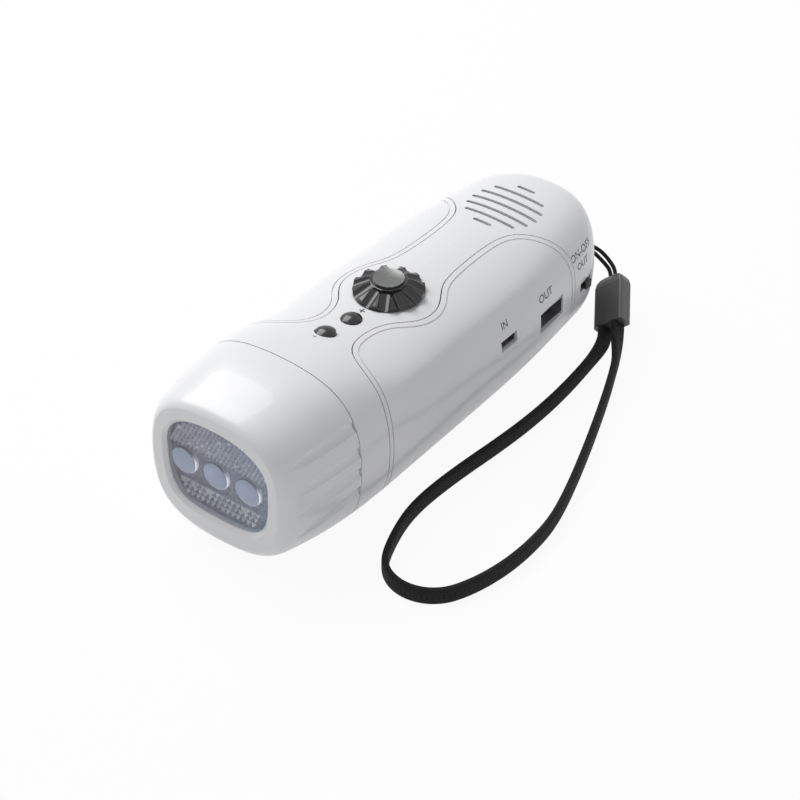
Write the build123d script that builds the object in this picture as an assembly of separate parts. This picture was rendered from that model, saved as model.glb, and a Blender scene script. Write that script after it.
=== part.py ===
"""Hand crank flashlight with radio knob, speaker, charging sockets and wrist strap.

Millimetres, +Z up. Everything is drawn with y = 0 at the nose and y growing towards the tail, and
save() moves it so that the origin lies in the middle of the flat keel that the torch rests on.
+X is the side with the sockets, and the crank is on the -X side.
"""

from build123d import *
from math import atan2, cos, degrees, pi, radians, sin, sqrt, tan
import os

# ---------------------------------------------------------------- casing
LENGTH = 181.6
HALF_WIDTH = 31.1  # behind the collar
HEAD_HALF_WIDTH = 31.9
NOSE_HALF_WIDTH = 24.4
BODY_TOP = 51.7
HEAD_TOP = 58.1
NOSE_TOP = 53.6
NOSE_BOTTOM = 7.6
REAR_HALF_WIDTH = 28.2
REAR_TOP = 49.5
REAR_BOTTOM = 2.4
TAIL_DOME = 28.0  # length of the rounded tail
TAIL_MID_Z = 25.0
WALL = 2.2
FRONT_WALL = 3.2
SPLIT_Z = 7.5  # the lower shell lies below this
HEAD_SEAM_Y = 31.8
COLLAR_SEAM_Y = 45.4
PANEL_END_Y = 149.5
SEAM_GAP = 0.35
GROOVE_WIDTH = 0.45
GROOVE_DEPTH = 0.45
GROOVE_INSET = 1.9  # from the parting line to the groove beside it
FLUTE_RADIUS = 3.4
FLUTE_DEPTH = 0.8
KEEL_HALF_WIDTH = 10.0
KEEL_START_Y = 40.0
KEEL_END_Y = 162.0

# ---------------------------------------------------------------- lens and lamps
LENS_HALF_WIDTH = 19.6
LENS_TOP = 48.2
LENS_BOTTOM = 14.3
LENS_MID_Z = 35.9
LENS_FACE_Y = 1.3
LENS_FLANGE = 1.6
LENS_FLANGE_THICKNESS = 1.3
GASKET_THICKNESS = 0.8
REFLECTOR_DEPTH = 11.0
CUP_RADIUS = 6.3
CUP_BACK_RADIUS = 3.4
CUP_SPACING = 12.8
CUP_Z = 30.0
LAMP_RADIUS = 2.5
BOARD_THICKNESS = 1.6

# ---------------------------------------------------------------- knob and buttons
KNOB_Y = 85.9
KNOB_RADIUS = 11.6
KNOB_RIM = 1.5
KNOB_HEIGHT = 4.4
KNOB_CAP_RADIUS = 5.1
KNOB_FLUTES = 12
KNOB_FLUTE_RADIUS = 2.4
KNOB_FLUTE_DEPTH = 1.1
SHAFT_RADIUS = 3.0
RUNNING_GAP = 0.06
CLEARANCE = 0.3
SEAT_GAP = 0.05  # between pieces that rest on or in each other
MINUS_Y = 53.9
PLUS_Y = 66.8
BUTTON_RADIUS = 3.3
BUTTON_PROUD = 1.6
BUTTON_TRAVEL = 0.8
CONTROL_BOARD_Z = 41.5

# ---------------------------------------------------------------- speaker
SPEAKER_Y = 148.8
SPEAKER_RADIUS = 14.0
GRILLE_RADIUS = 13.1
SLOT_WIDTH = 1.35
SLOT_PITCH = 4.2
SLOT_COUNT = 7

# ---------------------------------------------------------------- sockets and switch
USB_A_Y = 134.8
USB_A_Z = 26.7
USB_A_CUT = (14.4, 7.6)
USB_A_SHELL = (13.7, 6.6)
USB_A_DEPTH = 15.0
MICRO_Y = 109.7
MICRO_Z = 30.8
MICRO_CUT = (8.6, 3.9)
MICRO_SHELL = (7.9, 3.1)
MICRO_DEPTH = 6.0
METAL = 0.35
POWER_BOARD_Z = 30.0
SWITCH_Y = 158.0
SWITCH_Z = 24.9
SWITCH_LEVER = (3.0, 2.8)
SWITCH_TRAVEL = 2.0
SWITCH_PROUD = 1.3

# ---------------------------------------------------------------- crank and gears
CRANK_Y = 84.0
CRANK_Z = 21.5
ARM_GAP = 1.4  # between the side of the casing and the arm, which swings past the wider collar
ARM_THICKNESS = 5.6
ARM_HALF_WIDTH = 6.4
HUB_RADIUS = 8.0
ARM_RADIUS = 45.0  # from the crank's axis to the handle's hinge
GRIP_RADIUS = 2.9
GRIP_LENGTH = 23.0
HINGE_RADIUS = 1.2
HINGE_INSET = 0.8  # each end of the hinge pin stops this far inside the arm's edge
SPINDLE_RADIUS = 1.3
MODULE = 0.6
PRESSURE_ANGLE = 25.0
DRIVE_TEETH = 48
WHEEL_TEETH = 42
PINION_TEETH = 12
BACKLASH = 0.12
COMPOUND_ANGLE = 18.0  # rise of the line from the crank's axis to the compound gear
DYNAMO_ANGLE = -30.0
DYNAMO_RADIUS = 11.5
DYNAMO_LENGTH = 11.0
PLATE = 1.5
DRIVE_WIDTH = 3.0
WHEEL_WIDTH = 2.5
GEAR_GAP = 0.5
GEARBOX_DEPTH = 8.5  # from the widest point of the casing to the outer plate

# ---------------------------------------------------------------- cell
CELL_RADIUS = 7.1
CELL_LENGTH = 50.0
CELL_Y = 111.0
CELL_Z = 13.6

# ---------------------------------------------------------------- screws
SCREW_RADIUS = 1.2
SCREW_HEAD_RADIUS = 2.3
SCREW_HEAD_HEIGHT = 1.7
TOWER_RADIUS = 3.2
WELL_TOP = SPLIT_Z - 2.5  # where the heads of the shell screws pull up against the lower shell
FRONT_SCREW = (17.0, 38.4)
REAR_SCREW = (12.8, 161.5)
GEARBOX_POST_RADIUS = 2.2

# ---------------------------------------------------------------- strap
STRAP_THICKNESS = 5.2
STRAP_Z = 2.65  # height of the strap's middle where it lies on the floor
LOOP_CORD = 1.4
FERRULE_WIDTH = 12.2
FERRULE_THICKNESS = 5.8
FERRULE_LENGTH = 15.8
FERRULE_DOME = 4.0
FERRULE_EDGE = 1.2
FERRULE_FRONT = (34.5, 165.3, 5.5)
FERRULE_ROLL = 42.0
FERRULE_HEADING = (0.519, -0.782, -0.345)  # the way the strap leaves it
FERRULE_DROP = 12.3  # from the upper strand's mouth to where it reaches the floor
EYE_Y = 177.0
EYE_Z = 21.0
EYE_PIN_RADIUS = 1.25
EYE_PIN_DEPTH = 2.2
EYE_DEPTH = 6.0
EYE_HALF_WIDTH = 4.0
EYE_HEIGHT = 8.0

# The strap's route on the floor, from the lower side of the ferrule's mouth round to the upper side.
STRAP_ROUTE = [
    (36.0, 157.9), (37.7, 149.0), (39.2, 137.0), (40.2, 123.0), (40.2, 108.0), (39.1, 93.0),
    (37.5, 79.0), (36.4, 66.0), (36.2, 54.0), (37.6, 44.0), (41.3, 32.2), (44.9, 24.9),
    (50.2, 21.0), (56.7, 19.8), (63.1, 21.5), (68.1, 25.7), (71.2, 31.9), (73.6, 39.6),
    (75.2, 49.0), (75.6, 59.8), (74.6, 72.0), (70.6, 86.6), (63.5, 107.0), (54.7, 129.8),
    (48.4, 144.6),
]  # fmt: skip
# The middle of the thin loop's two legs on their way to the eye, and how far each leg is from it.
LOOP_LEAD = 2.8  # straight run out of the ferrule
LOOP_ROUTE = [(20.0, 183.6, 15.4), (16.2, 182.6, 19.0)]
LOOP_SPREAD = (0.75, 0.9, 1.2, 1.7)

os.makedirs("parts", exist_ok=True)


# ---------------------------------------------------------------- small helpers
def save(name, *solids):
    """Writes one node, with its origin under the middle of the torch."""
    shape = solids[0] if len(solids) == 1 else Compound(children=list(solids))
    export_step(Pos(0, -LENGTH / 2, 0) * shape, f"parts/{name}.step")


def block(x, y, z):
    """A box between two values on each axis."""
    middle = Pos((x[0] + x[1]) / 2, (y[0] + y[1]) / 2, (z[0] + z[1]) / 2)
    return middle * Box(abs(x[1] - x[0]), abs(y[1] - y[0]), abs(z[1] - z[0]))


def post(x, y, z, radius):
    """A round bar along Z, between two heights."""
    return Pos(x, y, (z[0] + z[1]) / 2) * Cylinder(radius, abs(z[1] - z[0]))


def bar_x(y, z, x, radius):
    """A round bar along X."""
    return Pos((x[0] + x[1]) / 2, y, z) * Rot(0, 90, 0) * Cylinder(radius, abs(x[1] - x[0]))


def bar_y(x, z, y, radius):
    """A round bar along Y."""
    return Pos(x, (y[0] + y[1]) / 2, z) * Rot(90, 0, 0) * Cylinder(radius, abs(y[1] - y[0]))


def quarter(half_width, height, square, crease):
    """Control points of one corner of a section, from the side round to the top, in two spans.

    crease draws the curve in near the shoulder, which leaves a flatter top and a flatter side.
    """
    turn = 0.42
    points = [(half_width, 0), (half_width, square * height), (square * half_width, height), (0, height)]

    def between(a, b):
        return (a[0] + (b[0] - a[0]) * turn, a[1] + (b[1] - a[1]) * turn)

    first = [between(points[i], points[i + 1]) for i in range(3)]
    second = [between(first[i], first[i + 1]) for i in range(2)]
    shoulder = between(second[0], second[1])
    near = [tuple(s + (p - s) * (1 - crease) for s, p in zip(shoulder, q)) for q in second]
    return [[points[0], first[0], near[0], shoulder], [shoulder, near[1], first[2], points[3]]]


def section(y, half_width, top, bottom, square=0.74, crease=0.0, mid_z=None, low_square=0.745):
    """A closed rounded outline across the torch at y."""
    mid_z = (top + bottom) / 2 if mid_z is None else mid_z
    upper = quarter(half_width, top - mid_z, square, crease)
    lower = quarter(half_width, mid_z - bottom, low_square, 0.0)
    spans = []
    for side, rise, corner in ((1, 1, upper), (-1, 1, upper), (-1, -1, lower), (1, -1, lower)):
        for span in corner:
            spans.append(Bezier(*[(side * p[0], y, mid_z + rise * p[1]) for p in span]))
    return Wire(spans)


def casing(inset):
    """The whole casing as one solid, with every surface drawn in by inset."""
    rings = [
        (0.0, NOSE_HALF_WIDTH, NOSE_TOP, NOSE_BOTTOM, 0.74, 0.0),
        (1.5, NOSE_HALF_WIDTH + 1.8, NOSE_TOP + 1.6, NOSE_BOTTOM - 2.3, 0.74, 0.0),
        (7.7, NOSE_HALF_WIDTH + 4.0, NOSE_TOP + 3.1, NOSE_BOTTOM - 4.5, 0.74, 0.0),
        (21.0, HEAD_HALF_WIDTH - 1.6, HEAD_TOP, 1.0, 0.74, 0.0),
        (HEAD_SEAM_Y + 3, HEAD_HALF_WIDTH - 0.2, HEAD_TOP, 0.3, 0.74, 0.0),
        (COLLAR_SEAM_Y - 2, HEAD_HALF_WIDTH, HEAD_TOP - 1.1, 0.2, 0.74, 0.1),
        (59.6, HALF_WIDTH + 0.2, BODY_TOP + 0.6, 0.3, 0.76, 0.4),
        (81.7, HALF_WIDTH, BODY_TOP, 0.4, 0.77, 0.5),
        (105.7, HALF_WIDTH - 0.1, BODY_TOP - 0.8, 0.8, 0.77, 0.5),
        (129.8, HALF_WIDTH - 0.6, BODY_TOP - 1.3, 1.8, 0.76, 0.4),
        (LENGTH - TAIL_DOME, REAR_HALF_WIDTH, REAR_TOP, REAR_BOTTOM, 0.74, 0.0),
    ]
    wires = [
        section(y, w - inset, top - inset, bottom + inset, square, crease)
        for y, w, top, bottom, square, crease in rings
    ]
    mid_z = (REAR_TOP + REAR_BOTTOM) / 2
    half_height = (REAR_TOP - REAR_BOTTOM) / 2 - inset
    for share in (0.34, 0.6, 0.8, 0.92, 0.975, 0.995):
        width = (REAR_HALF_WIDTH - inset) * sqrt(1 - share**2)
        height = half_height * (1 - share**3.3) ** (1 / 3.3)
        middle = mid_z + (TAIL_MID_Z - mid_z) * share**2
        y = LENGTH - TAIL_DOME + (TAIL_DOME - inset) * share
        wires.append(section(y, width, middle + height, middle - height))
    return Solid.make_loft(wires)


def lens_section(y, grow):
    """The outline of the lens opening, grown outwards."""
    return section(
        y, LENS_HALF_WIDTH + grow, LENS_TOP + grow, LENS_BOTTOM - grow, 0.64, 0.0, LENS_MID_Z, 0.86
    )  # fmt: skip


def lens_slab(y, grow):
    """A straight slab with the outline of the lens opening."""
    return Solid.make_loft([lens_section(y[0], grow), lens_section(y[1], grow)])


OUTER = casing(0)
INNER = casing(WALL) - block((-99, 99), (-5, FRONT_WALL), (-5, 99))
INLAY = casing(GROOVE_DEPTH)  # grooves reach down to this surface


def skin(origin, direction, solid=None):
    """Where a line that starts inside the torch leaves the casing, and the outward normal there."""
    axis = Axis(origin, direction)
    hits = (solid or OUTER).find_intersection_points(axis)
    ahead = [hit for hit in hits if (hit[0] - Vector(*origin)).dot(Vector(*direction)) > 0]
    point, normal = max(ahead, key=lambda hit: (hit[0] - Vector(*origin)).length)
    return point, normal if normal.dot(Vector(*direction)) > 0 else -normal


def top_z(y, x=0.0, solid=None):
    """Height of the casing's top."""
    return skin((x, y, TAIL_MID_Z), (0, 0, 1), solid)[0].Z


def side_x(y, z, solid=None):
    """Half-width of the casing at a height, on the +X side."""
    return skin((0, y, z), (1, 0, 0), solid)[0].X


# ---------------------------------------------------------------- outlines of the side panels
def panel_line():
    """The parting line between the spine and the right panel, seen from above."""
    return Spline(
        (60, COLLAR_SEAM_Y), (24.0, COLLAR_SEAM_Y + 1.0), (13.2, 51.0), (8.1, 61.0), (10.2, 72.6),
        (15.8, 81.0), (16.0, 91.0), (11.4, 99.4), (9.3, 110.0), (9.1, 126.0), (12.2, 138.0),
        (23.0, PANEL_END_Y - 2.4), (60, PANEL_END_Y),
        tangents=[(-1, 0), (1, 0)],
    )  # fmt: skip


def panel_region():
    """Everything outboard of the parting line, as a tall solid."""
    line = panel_line()
    edge = Line(line @ 1, line @ 0)
    return extrude(Pos(0, 0, SPLIT_Z) * make_face([line.edge(), edge.edge()]), HEAD_TOP)


def above(z):
    """Half space above a height."""
    return block((-99, 99), (-20, 260), (z, 99))


# ---------------------------------------------------------------- head
def make_bezel():
    """Fluted ring that holds the lens."""
    head = OUTER & block((-99, 99), (-5, HEAD_SEAM_Y - SEAM_GAP), (-5, 99))
    seat = lens_slab((FRONT_WALL - 0.5, FRONT_WALL + 6.5), LENS_FLANGE + 1.7)
    shell = (head - INNER) + seat
    shell -= lens_slab((FRONT_WALL, FRONT_WALL + 7), LENS_FLANGE + 0.2)
    shell -= lens_slab((-1, FRONT_WALL + 0.1), 0.15)
    mouth = [lens_section(-0.6, 2.3), lens_section(0.3, 1.0), lens_section(LENS_FACE_Y, 0.15)]
    shell -= Solid.make_loft(mouth)
    for flute in make_flutes():
        shell -= flute
    return shell


def make_flutes():
    """Cutters for four shallow flutes on each side of the head, which fade out at the nose."""
    cutters = []
    for rear_z, front_z in ((45.3, 44.4), (36.4, 35.5), (28.8, 27.0), (21.4, 17.8)):
        rear, out = skin((0, HEAD_SEAM_Y, rear_z), (1, 0, 0))
        front, ahead = skin((0, 5.0, front_z), (1, 0, 0))
        start = rear + out * (FLUTE_RADIUS - FLUTE_DEPTH)
        end = front + ahead * (FLUTE_RADIUS + 0.05)
        along = (start - end).normalized()
        cutter = Plane(origin=end, z_dir=along) * Pos(0, 0, 20) * Cylinder(FLUTE_RADIUS, 46)
        cutters += [cutter, mirror(cutter, Plane.YZ)]
    return cutters


def make_lens():
    """Clear plate with a flange behind the bezel's lip, and prism bands on its back."""
    plate = lens_slab((LENS_FACE_Y, FRONT_WALL + 0.05), 0.0)
    flange = lens_slab((FRONT_WALL + 0.05, FRONT_WALL + 0.05 + LENS_FLANGE_THICKNESS), LENS_FLANGE)
    return plate + flange


def make_gasket():
    """Flat seal between the lens and the reflector."""
    start = FRONT_WALL + 0.05 + LENS_FLANGE_THICKNESS
    ring = lens_slab((start, start + GASKET_THICKNESS), LENS_FLANGE)
    return ring - lens_slab((start - 1, start + 2), -1.0)


REFLECTOR_Y = FRONT_WALL + 0.05 + LENS_FLANGE_THICKNESS + GASKET_THICKNESS
LAMP_X = (-CUP_SPACING, 0.0, CUP_SPACING)


def make_reflector():
    """Bright moulding with three cups."""
    block_ = lens_slab((REFLECTOR_Y, REFLECTOR_Y + 2), LENS_FLANGE)
    block_ += lens_slab((REFLECTOR_Y + 1.9, REFLECTOR_Y + REFLECTOR_DEPTH), -1.0)
    for x in LAMP_X:
        cup = Cone(CUP_BACK_RADIUS, CUP_RADIUS, REFLECTOR_DEPTH + 0.02)
        block_ -= Pos(x, REFLECTOR_Y + REFLECTOR_DEPTH / 2, CUP_Z) * Rot(90, 0, 0) * cup
    return block_


def make_lamp(x):
    """A round lamp with its collar, standing on the lamp board."""
    back = REFLECTOR_Y + REFLECTOR_DEPTH
    collar = bar_y(x, CUP_Z, (back - 1.2, back), LAMP_RADIUS + 0.5)
    body = bar_y(x, CUP_Z, (back - 4.0, back - 1.1), LAMP_RADIUS)
    return collar + body + Pos(x, back - 4.0, CUP_Z) * Sphere(LAMP_RADIUS)


def make_lamp_board():
    """Board behind the reflector."""
    back = REFLECTOR_Y + REFLECTOR_DEPTH
    return block((-19, 19), (back, back + BOARD_THICKNESS), (LENS_BOTTOM + 3, LENS_TOP - 4))


# ---------------------------------------------------------------- shells
TOWERS = [(s * x, y) for x, y in (FRONT_SCREW, REAR_SCREW) for s in (-1, 1)]
KNOB_SEAT = top_z(KNOB_Y) - 0.7
BEHIND_HEAD = block((-99, 99), (HEAD_SEAM_Y, 260), (-5, 99))


def make_speaker_ring():
    """Wall that the speaker drops into, under the grille."""
    height = (CONTROL_BOARD_Z, HEAD_TOP)
    ring = post(0, SPEAKER_Y, height, SPEAKER_RADIUS + 1.7)
    return (ring - post(0, SPEAKER_Y, height, SPEAKER_RADIUS + 0.2)) & OUTER


def make_slots():
    """Grille slots across the top, each as long as the round grille allows."""
    cutters = []
    for i in range(SLOT_COUNT):
        offset = (i - (SLOT_COUNT - 1) / 2) * SLOT_PITCH
        half = sqrt(GRILLE_RADIUS**2 - offset**2) - SLOT_WIDTH / 2
        outline = Pos(0, SPEAKER_Y + offset, CONTROL_BOARD_Z) * SlotCenterToCenter(2 * half, SLOT_WIDTH)
        cutters.append(extrude(outline, 20))
    return cutters


EYE_POINT, EYE_NORMAL = skin((0, EYE_Y - 12, EYE_Z), (0.63, 0.777, 0))
EYE_OUT = Vector(EYE_NORMAL.X, EYE_NORMAL.Y, 0).normalized()
EYE_ACROSS = Vector(-EYE_OUT.Y, EYE_OUT.X, 0)
EYE_PIN_AT = EYE_POINT - EYE_OUT * EYE_PIN_DEPTH


def eye_box(grow, depth):
    """The strap eye's pocket, square to the tail's surface."""
    frame = Plane(origin=EYE_POINT, x_dir=EYE_ACROSS, z_dir=EYE_OUT)
    size = (2 * (EYE_HALF_WIDTH + grow), EYE_HEIGHT + 2 * grow, depth + 6)
    return frame * Pos(0, 0, 6 - size[2] / 2) * Box(*size)


def make_upper_shell():
    """Collar, spine and tail in one moulding, which the panels drop into."""
    shell = (OUTER & BEHIND_HEAD & above(SPLIT_Z)) - INNER
    for x, y in TOWERS:
        shell += post(x, y, (SPLIT_Z, HEAD_TOP), TOWER_RADIUS) & OUTER
        shell -= post(x, y, (SPLIT_Z - 1, SPLIT_Z + 12), SCREW_RADIUS + SEAT_GAP)
    shell += make_speaker_ring()
    shell += eye_box(1.6, EYE_DEPTH + 1.6) & OUTER
    shell -= eye_box(0, EYE_DEPTH)
    shell -= post(EYE_PIN_AT.X, EYE_PIN_AT.Y, (EYE_Z - 5.4, EYE_Z + 5.4), EYE_PIN_RADIUS + 0.02)
    region = panel_region()
    line = panel_line()
    for side in (region, mirror(region, Plane.YZ)):
        shell -= side
    for part_line in (line, mirror(line, Plane.YZ)):
        shell -= extrude(Pos(0, 0, SPLIT_Z - 1) * trace(part_line, 2 * SEAM_GAP), HEAD_TOP + 10)
    shell -= post(0, KNOB_Y, (KNOB_SEAT, HEAD_TOP), KNOB_RADIUS + 0.6)
    shell -= post(0, KNOB_Y, (CONTROL_BOARD_Z, HEAD_TOP), SHAFT_RADIUS + CLEARANCE)
    for y in (MINUS_Y, PLUS_Y):
        shell -= post(0, y, (CONTROL_BOARD_Z, HEAD_TOP + 5), BUTTON_RADIUS + 0.2)
    for slot in make_slots():
        shell -= slot
    half_slot = SWITCH_LEVER[0] / 2 + SWITCH_TRAVEL + CLEARANCE
    half_height = SWITCH_LEVER[1] / 2 + CLEARANCE
    opening = (SWITCH_Z - half_height, SWITCH_Z + half_height)
    return shell - block((18, 40), (SWITCH_Y - half_slot, SWITCH_Y + half_slot), opening)


def make_panel():
    """The right side panel, without its sockets, with the groove inside its edge."""
    shell = ((OUTER & above(SPLIT_Z)) - INNER) & panel_region()
    line = panel_line()
    reach = 2 * (GROOVE_INSET + GROOVE_WIDTH / 2)
    rim = trace(line, reach) - trace(line, reach - 2 * GROOVE_WIDTH)
    groove = extrude(Pos(0, 0, SPLIT_Z - 1) * rim, HEAD_TOP + 10) - INLAY
    return shell - groove


def socket_cut(y, z, size):
    """Square hole through the right panel."""
    return block((20, 40), (y - size[0] / 2, y + size[0] / 2), (z - size[1] / 2, z + size[1] / 2))


def make_right_panel():
    """Right panel with both socket openings."""
    large = socket_cut(USB_A_Y, USB_A_Z, USB_A_CUT)
    return make_panel() - large - socket_cut(MICRO_Y, MICRO_Z, MICRO_CUT)


def make_left_panel():
    """Left panel, with the crank's bush hole and three posts for the gearbox."""
    panel = mirror(make_panel(), Plane.YZ)
    for y, z in GEARBOX_POSTS:
        pillar = bar_x(y, z, (OUTER_PLATE_X, -HALF_WIDTH - 3), GEARBOX_POST_RADIUS) & OUTER
        panel += pillar
        panel -= bar_x(y, z, (OUTER_PLATE_X + 1, OUTER_PLATE_X - 5), SCREW_RADIUS + SEAT_GAP)
    return panel - bar_x(CRANK_Y, CRANK_Z, (-20, -40), BUSH_RADIUS + SEAT_GAP)


def make_lower_shell():
    """Tray under the torch, with the keel that it rests on and four screw wells."""
    middle = (KEEL_START_Y + KEEL_END_Y) / 2
    outline = RectangleRounded(2 * KEEL_HALF_WIDTH, KEEL_END_Y - KEEL_START_Y, 6)
    keel = Pos(0, middle, 0) * extrude(outline, REAR_BOTTOM + 2)
    body = (OUTER & BEHIND_HEAD) + keel
    shell = (body - above(SPLIT_Z)) - INNER
    for x, y in TOWERS:
        shell += post(x, y, (0, SPLIT_Z), TOWER_RADIUS) & OUTER
    for x, y in TOWERS:
        shell -= post(x, y, (-1, SPLIT_Z + 1), SCREW_RADIUS + SEAT_GAP)
        shell -= post(x, y, (-1, WELL_TOP), SCREW_HEAD_RADIUS + CLEARANCE)
    return shell


def make_shell_screws():
    """Four screws, up through the lower shell into the towers."""
    screws = []
    for x, y in TOWERS:
        head = post(x, y, (WELL_TOP - SEAT_GAP - SCREW_HEAD_HEIGHT, WELL_TOP - SEAT_GAP), SCREW_HEAD_RADIUS)
        recess = (WELL_TOP - 3, WELL_TOP - SCREW_HEAD_HEIGHT + 0.6)
        slot = block((x - 1.6, x + 1.6), (y - 0.3, y + 0.3), recess)
        cross = block((x - 0.3, x + 0.3), (y - 1.6, y + 1.6), recess)
        screws.append(head - slot - cross + post(x, y, (WELL_TOP - 0.1, SPLIT_Z + 9), SCREW_RADIUS))
    return screws


# ---------------------------------------------------------------- knob and buttons
def make_knob():
    """Tuning knob: a low rim, then a cone cut by flutes."""
    base = KNOB_SEAT + CLEARANCE
    knob = post(0, KNOB_Y, (base, base + KNOB_RIM), KNOB_RADIUS)
    cone = Cone(KNOB_RADIUS - 0.3, KNOB_CAP_RADIUS + 0.7, KNOB_HEIGHT - KNOB_RIM)
    knob += Pos(0, KNOB_Y, base + (KNOB_RIM + KNOB_HEIGHT) / 2) * cone
    slope = degrees(atan2(KNOB_HEIGHT - KNOB_RIM, KNOB_RADIUS - KNOB_CAP_RADIUS - 1.0))
    for i in range(KNOB_FLUTES):
        lift = KNOB_FLUTE_RADIUS - KNOB_FLUTE_DEPTH
        middle = (KNOB_RADIUS - 1.9, 0, KNOB_RIM + 0.9 + lift)
        flute = Pos(*middle) * Rot(0, 90 + slope, 0) * Cylinder(KNOB_FLUTE_RADIUS, 7.0)
        knob -= Pos(0, KNOB_Y, base) * Rot(0, 0, i * 360 / KNOB_FLUTES) * flute
    knob -= post(0, KNOB_Y, (base + KNOB_HEIGHT - 0.6, base + KNOB_HEIGHT + 1), KNOB_CAP_RADIUS)
    return knob - post(0, KNOB_Y, (base - 1, base + KNOB_HEIGHT - 1.4), SHAFT_RADIUS)


def make_knob_cap():
    """Bright disc let into the top of the knob, slightly dished."""
    base = KNOB_SEAT + CLEARANCE + KNOB_HEIGHT - 0.6
    disc = post(0, KNOB_Y, (base, base + 1.3), KNOB_CAP_RADIUS)
    return disc - Pos(0, KNOB_Y, base + 1.0 + 25) * Sphere(25.3)


def make_pot():
    """Tuner body on the control board, with its neck under the shell."""
    board_top = CONTROL_BOARD_Z + BOARD_THICKNESS
    neck = SHAFT_RADIUS + 1.5
    neck_top = min(top_z(KNOB_Y, neck, INNER), top_z(KNOB_Y + neck, 0, INNER)) - 2 * SEAT_GAP
    body = block((-8, 8), (KNOB_Y - 8, KNOB_Y + 8), (board_top, neck_top - 1.8))
    body += post(0, KNOB_Y, (neck_top - 1.9, neck_top), neck)
    return body - post(0, KNOB_Y, (board_top + 1.5, neck_top + 1), SHAFT_RADIUS + RUNNING_GAP)


def make_pot_shaft():
    """Shaft that carries the knob."""
    foot = CONTROL_BOARD_Z + BOARD_THICKNESS + 1.6
    return post(0, KNOB_Y, (foot, KNOB_SEAT + CLEARANCE + KNOB_HEIGHT - 1.4), SHAFT_RADIUS)


def make_button(y):
    """Domed cap with a retaining collar and a stem over its switch."""
    crown = top_z(y) + BUTTON_PROUD
    under = min(top_z(y + d, 0, INNER) for d in (-BUTTON_RADIUS - 0.8, BUTTON_RADIUS + 0.8))
    cap = post(0, y, (under - 0.4, crown - 1.2), BUTTON_RADIUS)
    dome_radius = (BUTTON_RADIUS**2 + 1.2**2) / 2.4
    dome = Pos(0, y, crown - dome_radius) * Sphere(dome_radius)
    cap += dome & post(0, y, (crown - 1.2, crown + 1), BUTTON_RADIUS)
    cap += post(0, y, (under - 1.4, under - 0.3), BUTTON_RADIUS + 0.7)
    return cap + post(0, y, (switch_top() + BUTTON_TRAVEL + 0.15, under - 1.3), 1.6)


def switch_top():
    """Height of the small switches under the buttons."""
    return CONTROL_BOARD_Z + BOARD_THICKNESS + 2.6


def make_tact_switch(y):
    """Square switch with a round plunger."""
    board_top = CONTROL_BOARD_Z + BOARD_THICKNESS
    body = block((-3, 3), (y - 3, y + 3), (board_top, board_top + 2.0))
    return body + post(0, y, (board_top + 1.9, switch_top()), 1.7)


# ---------------------------------------------------------------- speaker
def speaker_face():
    """Height of the speaker's front rim, just under the inside of the top."""
    return top_z(SPEAKER_Y, SPEAKER_RADIUS - 1, INNER) - 0.7


def make_speaker():
    """Frame, cone, magnet and dust cloth."""
    face = speaker_face()
    rim = post(0, SPEAKER_Y, (face - 1.6, face), SPEAKER_RADIUS)
    rim -= post(0, SPEAKER_Y, (face - 3, face + 1), 12)
    basket = Pos(0, SPEAKER_Y, face - 3.35) * Cone(8.4, 13.4, 3.5)
    basket -= Pos(0, SPEAKER_Y, face - 3.3) * Cone(7.0, 12.0, 3.6)
    frame = rim + basket - post(0, SPEAKER_Y, (face - 6, face + 1), 6.9)
    cone = Pos(0, SPEAKER_Y, face - 2.6) * (Cone(4.0, 11.2, 3.0) - Pos(0, 0, 0.5) * Cone(4.0, 11.2, 3.0))
    cone += Pos(0, SPEAKER_Y, face - 3.3) * Cylinder(5.5, 1.2)
    magnet = post(0, SPEAKER_Y, (face - 9.5, face - 5.1), 8.0)
    cloth = post(0, SPEAKER_Y, (face, face + 0.3), SPEAKER_RADIUS - 0.3)
    return frame, cone, magnet, cloth


# ---------------------------------------------------------------- boards and sockets
def shell_tube(y, z, size, depth, front):
    """Folded metal socket shell, open at the front."""
    x = (front - depth, front)
    outer = block(x, (y - size[0] / 2, y + size[0] / 2), (z - size[1] / 2, z + size[1] / 2))
    w, h = size[0] / 2 - METAL, size[1] / 2 - METAL
    return outer - block((x[0] + 1.0, x[1] + 1), (y - w, y + w), (z - h, z + h))


USB_A_FRONT = side_x(USB_A_Y, USB_A_Z) - 0.8
MICRO_FRONT = side_x(MICRO_Y, MICRO_Z) - 0.8


def make_usb_a_tongue():
    """Contact tongue, set back from the socket's mouth."""
    x = (USB_A_FRONT - USB_A_DEPTH + 1.0, USB_A_FRONT - 4.6)
    return block(x, (USB_A_Y - 5.5, USB_A_Y + 5.5), (USB_A_Z + 0.4, USB_A_Z + 2.3))


def make_micro_tongue():
    """Thin contact blade of the small socket."""
    x = (MICRO_FRONT - MICRO_DEPTH + 1.0, MICRO_FRONT - 1.5)
    return block(x, (MICRO_Y - 2.4, MICRO_Y + 2.4), (MICRO_Z - 0.3, MICRO_Z + 0.5))


def make_power_board():
    """Charging board above the larger socket, notched round the smaller one."""
    y = (USB_A_Y - 30.8, USB_A_Y + 11.2)
    z = (POWER_BOARD_Z, POWER_BOARD_Z + BOARD_THICKNESS)
    edge = min(side_x(end, z[1], INNER) for end in y) - SEAT_GAP
    board = block((4, edge), y, z)
    notch = (MICRO_Y - MICRO_SHELL[0] / 2 - 0.1, MICRO_Y + MICRO_SHELL[0] / 2 + 0.1)
    board -= block((MICRO_FRONT - MICRO_DEPTH - 0.1, 40), notch, (20, 40))
    return board


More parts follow.
